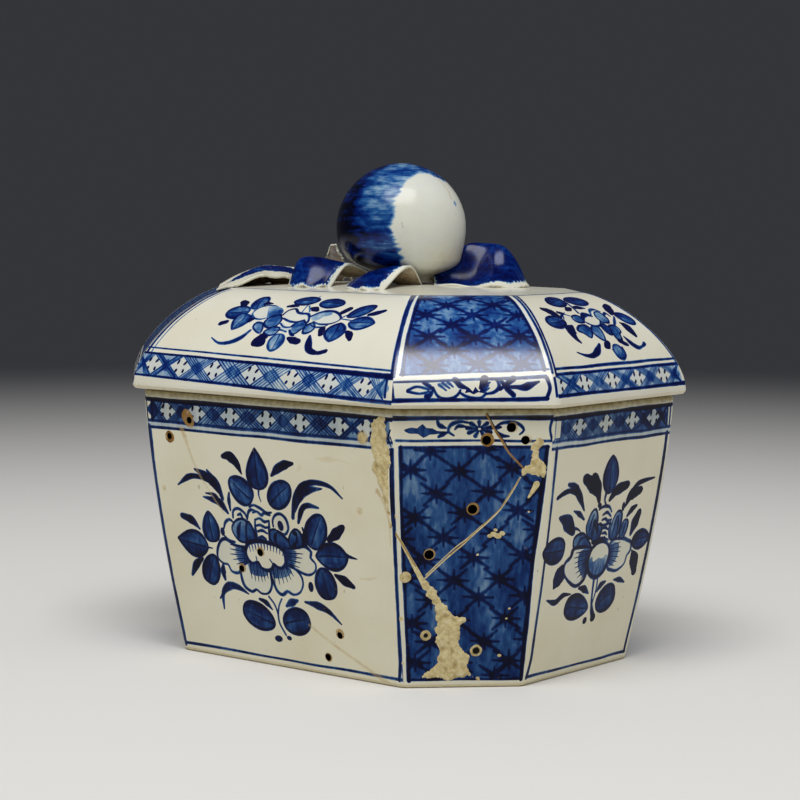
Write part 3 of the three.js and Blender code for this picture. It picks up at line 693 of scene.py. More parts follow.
    # the flower: washed petals above, then scrolls, then white petals
    art.lines([[(-16.1, 33.2), (-15.3, 34.9), (-13.8, 35.7), (-12.6, 35)],
               [(-16.1, 31.4), (-14.8, 30.4), (-12.8, 30.2)]], [0.5, 0.8, 0.5], 0.74)
    art.disc(-16.6, 32.4, 0.75, 0.7, r2=1.1)
    wash_petal(art, [(-9.2, 30.4), (-11.3, 30.7), (-12.8, 32.1), (-13.3, 33.8), (-11.6, 35.7), (-9.2, 36.2),
                     (-8.1, 35), (-8.35, 32.5)], 0.48, 0.7)
    wash_petal(art, [(-5.6, 30.3), (-7.6, 29.8), (-8.85, 32), (-8.1, 35.6), (-6.9, 34.9), (-5.9, 32.6)], 0.7,
               0.84)
    wash_petal(art, [(2.6, 29.9), (0.1, 30.9), (-1.1, 32.4), (-0.9, 34.1), (0.85, 34.6), (3.1, 33.4),
                     (4.8, 32), (4.8, 30.2)], 0.62, 0.8)
    wash_petal(art, [(5.8, 30.3), (4.8, 32), (5.6, 34), (7.1, 35.3), (8.6, 34.8), (9.3, 32.7), (8.1, 30.5)],
               0.56, 0.76)
    art.line([(-11.4, 31.6), (-11.2, 33.6), (-10.2, 35.4)], [1.0, 1.3, 0.4], 0.74)
    art.line([(0.6, 31.6), (0.6, 33), (1.4, 34)], [0.9, 1.1, 0.4], 0.86)
    art.line([(6.4, 31), (7.4, 32.6), (7.6, 34.4)], [1.1, 0.8, 0.4], 0.84)
    art.blob([(0.35, 36.7), (1.35, 38.1), (3.1, 38.5), (4.6, 37.3), (5, 35.2), (3.8, 33.7), (1.6, 34.5),
              (0.35, 35.5)], 0.05)
    art.lines([
        [(0.35, 35.3), (0.3, 36.8), (1.35, 38.2), (3.1, 38.6), (4.7, 37.4), (5.1, 35.2), (3.8, 33.7),
         (1.6, 34.4)],
        [(-12.6, 36.2), (-12.3, 38), (-10.6, 38.7), (-8.6, 37.7), (-7.9, 36.2)],
        [(-11, 37), (-10, 37.4), (-9.4, 36.4)],
        [(-7.9, 36.4), (-7.4, 38), (-6.4, 38.8), (-4.9, 38.6)],
        [(-6.9, 39.4), (-5.4, 40), (-3.4, 39.4), (-1.4, 38.5), (0.1, 38.7)],
        [(-5.9, 38.1), (-4.6, 38.5), (-3.1, 37.7), (-2.4, 38.3), (-0.4, 38)],
        [(-5.1, 36.5), (-3.9, 36.9), (-2.4, 36.2), (-0.9, 36.6)],
        [(-5.4, 34.9), (-3.9, 35.3), (-2.4, 34.8), (-1.1, 35)],
        [(-4.9, 33.6), (-3.4, 34), (-1.9, 33.4)], [(-4.9, 32), (-3.6, 32.4), (-2.4, 31.9)],
        [(-5.4, 36.5), (-5.6, 34.2), (-5.1, 30.8)], [(-0.9, 36.6), (-1.1, 33.9), (-1.4, 30.9)],
        [(9.6, 35.9), (10.3, 33.6), (10.1, 31.6)]], [0.5, 0.8, 0.5], 0.76)
    art.disc(2.7, 35.7, 0.95, 0.8, r2=1.3, deg=15)
    art.disc(7, 34.3, 0.8, 0.92, r2=0.6)
    art.disc(10.1, 31.2, 0.7, 0.9, r2=1.0)
    white_petal(art, [(-9.4, 29.2), (-13, 29.4), (-15.6, 30.6), (-17.4, 30.2), (-18.9, 28), (-19.2, 25.6),
                      (-17.6, 24.4), (-16, 24.2), (-15, 22.6), (-12.8, 22.5), (-11.6, 23.8), (-9.8, 24.4)],
                [[(-9.2, 28.8), (-14.6, 29.4)], [(-9.4, 28), (-14.9, 28.3)], [(-9.4, 27.2), (-15, 27)],
                 [(-9.6, 26.5), (-14.2, 25.7)], [(-9.6, 25.8), (-13.2, 24.6)]])
    white_petal(art, [(3.2, 30.4), (7.6, 31), (9.8, 31.4), (11.6, 30.2), (11.2, 28.8), (12.6, 27.4),
                      (12.2, 25.6), (10.2, 24.5), (7.8, 24.8), (5.4, 25.6), (3.4, 26.2)],
                [[(3, 30), (8.3, 30.7)], [(3.1, 29.2), (9, 29.5)], [(3.2, 28.4), (8.6, 28.4)],
                 [(3.2, 27.6), (8, 27.2)], [(3, 26.8), (7.4, 26)]])
    white_petal(art, [(-2.6, 25), (-1.8, 21.8), (-0.6, 19.2), (1, 18.6), (2.6, 19.6), (4.4, 19), (6.6, 19.8),
                      (7.9, 22), (7.4, 24.2), (5.2, 25.8), (2, 26)],
                [[(-1.2, 25.2), (-1.1, 21)], [(0, 25.4), (0.3, 21)], [(1, 25.6), (1.7, 21.4)],
                 [(1.9, 25.8), (3, 21.9)], [(2.6, 26), (4.2, 22.6)], [(3.2, 26), (5.2, 23.6)]],
                shade=[(-1.4, 25.4), (-1, 22.6), (1, 22.8), (3.6, 23.6), (4.4, 25.4), (2, 26)])
    white_petal(art, [(-9.2, 25.6), (-11.8, 24), (-12, 21.4), (-11.2, 19.2), (-9, 18.2), (-7.6, 18.9),
                      (-6, 18.1), (-3.8, 18.4), (-2.4, 20.2), (-2.2, 22.6), (-3, 25.2)],
                [[(-8.6, 25.4), (-8.6, 21.4)], [(-7.6, 25.4), (-7.5, 21)], [(-6.6, 25.4), (-6.4, 20.9)],
                 [(-5.6, 25.2), (-5.3, 21)], [(-4.6, 25), (-4.3, 21.3)], [(-3.8, 25.2), (-3.2, 22)]],
                shade=[(-8.8, 25.6), (-8.4, 22.8), (-6, 22.4), (-3.6, 22.8), (-3, 25)])
    art.blob([(-9.5, 28.2), (-9.3, 26.6), (-8.1, 25.4), (-6.6, 25.7), (-5.8, 25.8), (-5, 24.5), (-3.2, 24.1),
              (-1.5, 24.8), (-0.8, 25.9), (0.2, 25.3), (1.9, 25.4), (3, 26.8), (2.8, 29), (1, 30.3),
              (-2, 30.9), (-5.2, 31), (-8.2, 30.2)], 0.02)
    art.line([(-8.6, 29.9), (-9.6, 28.2), (-9.3, 26.5), (-8, 25.4), (-6.7, 25.7), (-5.9, 25.9), (-5.1, 24.6),
              (-3.2, 24.1), (-1.5, 24.8), (-0.9, 26), (0.2, 25.3), (1.9, 25.3), (3.1, 26.8), (2.9, 29.2)],
             [0.5, 0.9, 0.7, 0.9, 0.7, 0.9, 0.6], 0.8)
    art.line([(-10, 28.4), (-8.4, 30.4), (-5.2, 31.3), (-1.8, 31.1), (1.2, 30.6), (3.2, 29)],
             [0.5, 1.1, 1.2, 0.9, 1.0, 0.6], 0.88)
    art.lines([[(-2, 27), (-1.2, 26), (-0.8, 25.2)], [(-6.4, 27.2), (-6.2, 26)]], 0.35, 0.6)
    art.lines([[(-8.4 + 1.02 * k, 30.4 + 0.5 * math.sin(k * 0.28)),
                (-8 + 0.94 * k, 28.2 + 0.9 * math.sin(k * 0.28))]
               for k in range(12)], [0.5, 0.15], 0.64)
    return art


def side_flower():
    art = Art()
    art.line([(-0.2, 44.6), (-0.6, 42.6), (0.6, 41)], [1.1, 0.6, 0.4], 0.84)
    art.leaf(0.7, 48.6, 4.5, 2.9, 92, 0.66, point=0.75, base=0.6)
    art.line([(-2.9, 42.4), (-4.4, 46), (-6.4, 48.6)], [1.0, 2.7, 2.2], DARK)
    art.line([(-3.4, 43.6), (-6.4, 46.6), (-10, 48.6)], [0.8, 3.2, 2.0], DARK)
    art.line([(-8.7, 40.8), (-11.6, 44.6), (-14.3, 47), (-16.7, 47.8)], [0.4, 1.6, 2.0, 0.8], 0.88)
    art.line([(-12.6, 45), (-15.6, 46.2), (-18.4, 45.8), (-20.6, 44.9)], [0.7, 1.1, 1.2, 0.8], DARK)
    art.line([(1.5, 42.4), (4, 44.4), (8.7, 45.5)], [1.0, 2.4, 1.6], DARK)
    art.line([(8.8, 40), (10.6, 42.6), (14.8, 43.6)], [0.5, 2.6, 1.6], DARK)
    art.line([(10.4, 43.6), (13, 45.2), (16.2, 45.8), (20.3, 46.1)], [0.6, 1.2, 0.9, 0.4], DARK)
    art.line([(-18.5, 40.1), (-15.6, 39), (-12, 35.9)], [0.8, 3.4, 1.6], 0.86)
    art.line([(-12.4, 37), (-10, 36.4), (-8.4, 35.2)], [0.9, 0.5, 0.2], 0.8)
    art.line([(-13.2, 41.2), (-10.6, 40.2), (-8.2, 38.6)], [0.3, 1.2, 0.5], 0.76)
    art.leaf(-18.9, 32.2, 4.2, 2.9, 178, 0.68, base=0.4, point=0.6)
    art.line([(-13.2, 28.2), (-14.6, 26.2), (-16.3, 23.3)], [1.0, 4.2, 1.0], 0.87)
    art.line([(10.2, 37.5), (12, 39), (14, 39.8)], [0.6, 1.5, 0.6], 0.9)
    art.line([(13.1, 32.7), (14.2, 35.4), (15.6, 38)], [0.9, 2.7, 1.7], 0.8)
    art.leaf(18, 31, 3.7, 2.2, 2, 0.74, point=0.7, base=0.6)
    art.line([(15, 28.4), (16.6, 26), (17.6, 23)], [0.6, 3.2, 1.9], 0.82)
    # washed petals and scrolls above
    wash_petal(art, [(-3.8, 32.1), (-5.2, 31.4), (-7.5, 31.4), (-10.3, 31.5), (-11.2, 32.9), (-11.2, 34.4),
                     (-9.8, 35.1), (-7.5, 35.1), (-5.6, 33.6)], 0.5, 0.76)
    wash_petal(art, [(-3.8, 33.6), (-5.4, 33.9), (-6.8, 36.5), (-6.1, 38.8), (-5.2, 40.2), (-3.7, 40.6),
                     (-2.4, 38), (-2.6, 35.9)], 0.5, 0.78)
    wash_petal(art, [(-1.2, 32.6), (-3.1, 32.3), (-3.7, 34.2), (-2.6, 36.2), (-0.8, 36.8), (0, 34.9)], 0.56,
               0.8)
    wash_petal(art, [(5.5, 32.2), (4.1, 32.7), (3.9, 34.9), (4.3, 37.3), (6, 39.2), (7.8, 38.5), (8, 35.8),
                     (7.3, 33.2)], 0.5, 0.8)
    wash_petal(art, [(8, 31.9), (8.3, 34.5), (9.2, 36.6), (11, 36.3), (11, 34.2), (9.7, 31.9)], 0.56, 0.76)
    art.lines([
        [(-2.4, 40.4), (-0.5, 41), (1.8, 40.7), (3.2, 39.3)], [(-0.5, 38.9), (1.3, 39.4), (3.2, 38.2)],
        [(-0.5, 37.7), (0.9, 37.9), (1.8, 37.3), (3.6, 37.4)],
        [(-1, 36.6), (0.9, 36.3), (2.7, 36.6), (4.1, 36.1)], [(-0.1, 35.5), (1.3, 35.7), (2.7, 35.1)],
        [(0.4, 34.3), (1.6, 34.4), (2.5, 33.8)], [(0.9, 33), (1.8, 33.4)],
        [(3.4, 37.6), (3.2, 35), (3.6, 33)], [(5, 33.4), (5.4, 36), (6, 38)],
        [(6.8, 33.6), (6.8, 36), (6.4, 38)], [(-5.4, 35), (-5, 37.4), (-4.2, 39.4)],
        [(-4.2, 34.6), (-3.8, 37)], [(-9.6, 32.4), (-8.6, 33.8), (-6.4, 34.4)],
        [(9.4, 32.8), (9.8, 34.6), (10.2, 36)]], [0.5, 0.8, 0.45], 0.84)
    art.line([(6.2, 34), (6.3, 36), (6.6, 37.4)], 0.5, 0.1)
    art.disc(-3.5, 37.2, 0.8, 0.9, r2=1.1)
    art.disc(-2, 35.4, 0.6, 0.92, r2=0.9)
    art.disc(-2.4, 41.4, 1.0, 0.92, r2=0.7, deg=-30)
    art.disc(8, 40.1, 0.7, 0.9, r2=1.2)
    white_petal(art, [(-3.4, 31.4), (-6.6, 31.9), (-10.6, 31.9), (-11.4, 30), (-13.4, 28.6), (-13.2, 26.2),
                      (-10.4, 23.8), (-7.2, 22.4), (-4.6, 23.4), (-3.6, 25.6)],
                [[(-3.8, 30.6), (-9.6, 30.7)], [(-4, 29.8), (-10, 29.5)], [(-4, 28.9), (-9.4, 28.2)],
                 [(-4, 28), (-9, 27)], [(-3.9, 27.2), (-8.2, 25.6)], [(-3.7, 26.4), (-7.2, 24.4)],
                 [(-3.6, 25.6), (-5.6, 23.8)]], 0.86, 0.75,
                shade=[(-3.8, 31), (-8, 30.6), (-7.6, 27), (-4.6, 24.4), (-3.6, 26)])
    white_petal(art, [(4.6, 31.4), (6.6, 32.3), (10.4, 32), (11.8, 31.5), (14, 30.6), (14.2, 28.6),
                      (13, 27.4), (12.4, 25.4), (9.6, 24.2), (7, 24.6), (5, 25.8)],
                [[(4.9, 30.8), (9.2, 31.2)], [(5, 30), (9.8, 30)], [(5, 29.2), (9.8, 28.9)],
                 [(5, 28.3), (9.4, 27.6)], [(5, 27.5), (8.9, 26.4)], [(5, 26.7), (8, 25.5)]], 0.8, 0.65,
                shade=[(5, 31), (8.6, 30.8), (8.6, 27.4), (6.6, 25.6), (5, 26.4)])
    art.disc(0.6, 28, 4.4, 0.03, r2=4.3, sides=24)
    art.blob([(-3.6, 27.8), (-2.2, 29), (-1.4, 27.6), (0.4, 28.4), (2.2, 28), (3.6, 28.8), (4.8, 28),
              (4, 25.2), (2.4, 24.1), (0.3, 23.8), (-1.8, 24.7), (-3.3, 26.2)],
             lambda u, v: 0.34 + 0.06 * (28.5 - v) + 0.1 * np.sin(u * 4))
    art.line([(-3.8, 28), (-3.2, 30.6), (-1.4, 32), (0.6, 32.4), (3, 31.8), (4.7, 30.2), (5, 28), (4.3, 25.6),
              (2.6, 24), (0.4, 23.6), (-1.8, 24.5), (-3.4, 26.2), (-3.8, 28)], [0.8, 1.0, 0.7, 1.0, 1.1, 0.9],
             0.86)
    art.line([(-3.4, 32.6), (-1.2, 33), (1.4, 33), (3.6, 32.4)], [0.5, 0.9, 0.5], 0.82)
    # stem and leaves below
    art.line([(0.2, 23.8), (0.7, 18.8), (1.6, 15.6), (2.8, 13.4)], [0.9, 0.7, 0.8, 1.6], 0.8)
    art.line([(1.8, 23.4), (2, 20.4), (1.4, 17)], [0.6, 0.5, 0.4], 0.7)
    art.disc(2.8, 13.3, 1.1, 0.93)
    art.disc(-0.5, 13, 0.9, 0.93)
    art.leaf(-5.2, 17, 5, 2.9, 168, 0.68, point=0.45, base=0.7, turn=-0.5)
    art.leaf(6.8, 17.5, 3.9, 3.1, 20, 0.72, point=0.4, base=0.5)
    art.line([(-5.7, 21.7), (-3.6, 21.3), (-1.1, 19.8)], [0.6, 1.7, 0.4], 0.88)
    art.line([(2.4, 19.8), (3.6, 21.2), (5.5, 21.9)], [0.5, 1.6, 0.6], 0.88)
    art.line([(-18.5, 20.4), (-14.8, 19.4), (-12, 20.7), (-8.5, 20.6)], [0.3, 1.4, 1.2, 0.2], 0.85)
    art.line([(9, 21.9), (11.6, 21.6), (14.2, 20.6)], [0.4, 1.3, 0.3], 0.88)
    return art


def frame_lines(art, u0, u1, low):
    """Lines under the band of a tub panel and along its foot"""
    art.fill(band(u0, u1, 56.8, 58.4), 0.14)
    art.line(along_u(u0, u1, 63.7, sway=0.3), [0.9, 1.1, 0.8, 1.1, 0.8], 0.95)
    art.line(along_u(u0, u1, 58.4, sway=0.25), [0.7, 0.9, 0.65], 0.7)
    art.line(along_u(u0, u1, 56.8, sway=0.25), [0.7, 0.55, 0.7, 0.6], 0.82)
    art.line(along_u(*low, 2.1, sway=0.2), [0.7, 0.5, 0.7], 0.74)


def tub_front_art():
    art = Art()
    diaper(art, 58.5, 63.8, [-32.1, -22.1, -10.9, 0.8, 11.4, 23.2, 31.6], (-37, 38.4),
           wash=0.42, half=3.5, dot=0.52, spread=1.3, ink=0.74, pale=0.13)
    frame_lines(art, -39.6, 39.4, (-35, 35.2))
    art.line([(-37, 63.8), (-37.1, 58.5)], 0.9, 0.86)
    art.line([(-39.2, 63.8), (-38.9, 58.5)], 0.8, 0.84)
    art.line(up_ridge(TUB, FRONT, -1, [(57, 0.4), (30, 0.4), (1.6, 0.5)]), [1.3, 1.0, 1.1], 0.66)
    art.line(up_ridge(TUB, FRONT, -1, [(63, 0), (30, 0), (1.6, 0)]), [0.5, 0.4, 0.5], 0.55)
    art.line(up_ridge(TUB, FRONT, 1, [(56.8, 0.8), (30, 0.8), (1.8, 0.3)]), [0.9, 0.8, 0.7, 0.8], 0.76)
    return art


def tub_side_art():
    art = Art()
    diaper(art, 58.7, 63.7, [-14.8, -3.9, 7.3, 16.6], (-24.6, 22.6), wash=0.5, half=3.4, dot=0.52, spread=1.3,
           ink=0.8, pale=0.14)
    art.fill(band(-24.2, -22.4, 59.2, 63.2), 0.04)
    frame_lines(art, -25, 24.8, (-20.3, 20.6))
    art.line([(22.6, 63.8), (22.8, 58.6)], 0.8, 0.84)
    art.line([(24, 63.8), (24, 58.4)], 0.6, 0.8)
    art.line(up_ridge(TUB, RIGHT, -1, [(56.8, 1.1), (35, 0.9), (2, 1.8)]), [1.0, 0.7, 0.8, 0.9], 0.82)
    art.line(up_ridge(TUB, RIGHT, 1, [(57, 1.6), (35, 1.7), (2, 1.7)]), [1.1, 1.0, 0.8], 0.84)
    return art


def tub_chamfer_art():
    art = Art()
    left = up_ridge(TUB, FRONT_RIGHT, -1, [(1.8, 1.5), (57.4, 1.7)])
    right = up_ridge(TUB, FRONT_RIGHT, 1, [(1.8, 0.5), (15, 1.3), (30, 1.8), (45, 1.6), (57.4, 1.1)])
    star_lattice(art, [*left, *right[::-1]], STARS)
    art.fill([*left, (-22, 58), (-22, 0)], 0.03)
    art.fill([*right, (22, 58), (22, 0)], 0.03)
    art.fill(band(-22, 22, 57.4, 66), 0.02)
    art.fill(band(-22, 22, 0, 1.8), 0.02)
    art.line(left, [1.0, 0.6, 0.9, 0.7, 1.0], 0.9)
    art.line(right, [0.9, 1.1, 0.8, 1.2, 0.9], 0.93)
    art.line(along_u(-16.7, 17.3, 57.3), [0.8, 0.6, 0.8], 0.8)
    art.line(along_u(-12.6, 13.9, 2.1), [0.7, 0.5, 0.7], 0.84)
    art.line(up_ridge(TUB, FRONT_RIGHT, -1, [(1.6, -0.2), (57, -0.2)]), 0.6, 0.72)
    # cartouche
    art.line(along_u(-17.6, 18.2, 58.9, 58.7), [0.6, 0.5, 0.6], 0.74)
    art.line(along_u(-18.4, 18.6, 64), [1.0, 0.7, 1.1], 0.86)
    art.line([(18.1, 63.8), (17.6, 61.4), (18.2, 58.8)], [0.7, 0.5, 0.6], 0.8)
    art.blob([(-15.8, 61.3), (-14, 61.9), (-12.8, 61.7), (-11.6, 62.7), (-10.7, 61.8), (-9.3, 61.7),
              (-8.2, 61.1), (-5.4, 60.9), (-8.6, 60.3), (-10, 60.2), (-11.3, 59.5), (-12.6, 60.4),
              (-14.6, 60.5)], 0.72)
    art.lines([[(-8.2, 63.4), (-7.8, 62.4), (-6.2, 61.7)], [(-7.9, 59.7), (-6.9, 60.4), (-5.8, 60.7)]],
              [0.6, 1.1, 0.4], 0.78)
    art.lines([[(-0.9, 62.9), (-3.2, 63.2), (-5.2, 62.4), (-5.7, 61), (-4.4, 60)],
               [(-1.6, 62), (-3.4, 62.2), (-4.2, 61.4)]], [0.4, 0.9, 0.4], 0.76)
    for k in range(9):
        a = math.radians(k * 40 + 12)
        art.line([(1.4 + 0.5 * math.cos(a), 61.5 + 0.4 * math.sin(a)),
                  (1.4 + 2.9 * math.cos(a), 61.5 + 1.7 * math.sin(a))], [0.4, 0.95], 0.82)
    art.lines([[(4.8, 61.6), (6.2, 62.7), (8, 63), (10.4, 62.6), (11.6, 61.2), (10.6, 60.2)],
               [(5, 61.2), (6.4, 60), (8.2, 59.8)], [(4.6, 61.8), (6.4, 61.9)]], [0.4, 0.9, 0.4], 0.78)
    return art


def damage_front(art):
    """Cracks, stains round the rivet holes and dark edges of the repair"""
    def tan(points, widths, strength):
        art.line(points, widths, strength, STAIN)

    tan([(-27.4, 57.4), (-23.7, 48.2), (-19.5, 42), (-15.4, 37)], [1.2, 0.7, 0.5, 0.4], 0.3)
    tan([(8.2, 12), (15, 8.2), (23.5, 4.1), (31.5, 0.2)], [0.6, 0.7, 0.8, 1.2], 0.32)
    tan([(15.8, 53), (18, 52.9), (21.6, 53.2), (26, 52.6)], [0.5, 1.4, 0.6, 0.3], 0.16)
    tan([(26, 25.4), (29, 25.6), (31, 26.2)], [0.4, 0.7, 0.4], 0.22)
    tan([(9.6, 49.5), (10.6, 50.6)], [0.5, 1.2], 0.16)
    art.disc(27.9, 41.7, 0.9, 0.3, STAIN)
    art.disc(-35.1, 41.7, 0.7, 0.3, STAIN)
    art.blob([(-27, 60), (-26, 61.9), (-24.2, 61.6), (-23, 59.6), (-23.4, 57.6), (-25.4, 57.8)], 0.62, STAIN)
    art.blob([(-33, 55.2), (-31.8, 56.3), (-30.2, 55.4), (-30.2, 53.9), (-31.6, 53.2), (-32.8, 53.9)], 0.8,
             STAIN)
    for u, v, r in ((-4.7, 28.6, 1.2), (-11.4, 23.9, 1.2), (17.7, 11, 1.3), (13.1, 4.6, 1.15)):
        art.disc(u, v, r, 0.6, STAIN)
    for u, v, r in ((30.3, 58.9, 1.7), (35.4, 60, 2.2), (34.4, 52, 1.8)):
        art.disc(u, v, r, 0.3, STAIN)
    for path, width in (([(38.6, 61.4), (37.8, 59.4), (38.6, 57.4)], 0.5),
                        ([(38.8, 56.4), (37.6, 54.4)], 0.6),
                        ([(37.9, 52.6), (37.7, 48), (37.5, 44), (37.2, 39)], 0.6),
                        ([(38.4, 59.8), (38.9, 58.4)], 0.5)):
        art.line(path, [width * 0.6, width, width * 0.5], 1.0)
    tan([(33.6, 47), (35.4, 44), (36.4, 40), (36.2, 34)], [1.0, 0.8, 0.4, 0.2], 0.4)


def damage_chamfer(art):
    """Filled cracks, chips and the rings that old rivets left"""
    def cream(points, widths):
        art.line(points, widths, 0.95, FILLER)

    art.line([(2.3, 66), (4.8, 61.4), (6.6, 58.8), (8.3, 56), (11.6, 52.6)], [0.25, 0.4, 0.42, 0.32], 0.85,
             STAIN)
    art.line([(2.6, 66), (5.2, 61.4), (7, 58.8), (8.8, 56)], 0.22, 1)
    cream([(11.2, 50.4), (9.2, 46.8), (6.8, 42.9), (5, 40.9), (2.3, 38.4), (-1.2, 34.9), (-4.5, 32),
           (-10.2, 26.4)],
          [0.3, 0.55, 0.35, 0.6, 0.3, 0.45, 0.3, 0.4])
    art.line([(11, 50), (9, 46.7), (6.7, 43), (2.3, 38.6), (-1.2, 35.1), (-4.5, 32.2)], 0.18, 0.8, STAIN)
    cream([(2.8, 39.2), (-0.6, 36), (-3.8, 33.4), (-9.8, 27.4)], [0.2, 0.3, 0.25, 0.3])
    cream([(-18.2, 39), (-15.8, 35.4), (-13.4, 31.2), (-10.6, 26.2), (-9.6, 24.4)], [0.5, 0.6, 0.8, 1.1, 1.4])
    art.line([(-17.6, 38.2), (-15, 34.2), (-12.2, 29.6)], 0.35, 0.7, STAIN)
    cream([(15, 48.8), (14.4, 47.6), (13.2, 45.6)], [1.6, 1.0, 0.5])
    for x, y, r in ((4.6, 36.6, 0.6), (5.5, 37, 0.8), (6.5, 36.6, 0.9), (7.5, 37.2, 0.7), (5.9, 38, 0.5),
                    (2, 32.2, 0.35), (10, 19.2, 0.35), (8.2, 7.8, 0.5), (9.4, 16.8, 0.3), (13.4, 42.2, 0.3),
                    (-17.8, 41.2, 0.9), (-15.2, 17, 0.7), (-14.3, 6.2, 0.4)):
        art.disc(x, y, r, 0.95, FILLER, r2=r * 0.75, deg=70 * wobble(x, y), sides=8)
    for u, v, r, s in ((9, 61.9, 1.25, 0.35), (3.3, 59, 1.6, 0.75), (12.3, 58.9, 1.25, 0.3),
                       (0.5, 43, 1.5, 0.65), (-9.1, 32.4, 1.4, 0.5)):
        art.disc(u, v, r, s, STAIN)
    for u, v in ((0.5, 43), (-9.1, 32.4), (3.2, 59)):
        art.disc(u, v, 1.3, 0.5, FILLER)


# The cover's paintings

def lid_star_places():
    """Rows of stars, every other row half a step over"""
    first, last, row, step = 8.2, 33, 3.95, 10.4
    stars = []
    for i, v in enumerate(np.arange(first, last, row)):
        for j in range(-2, 3):
            u = (j + 0.5 * (i % 2)) * step + 0.6
            u += 0.7 * wobble(u, v, 0.3)
            stars.append((u, v + 0.5 * wobble(v, u, 0.4)))
    return stars


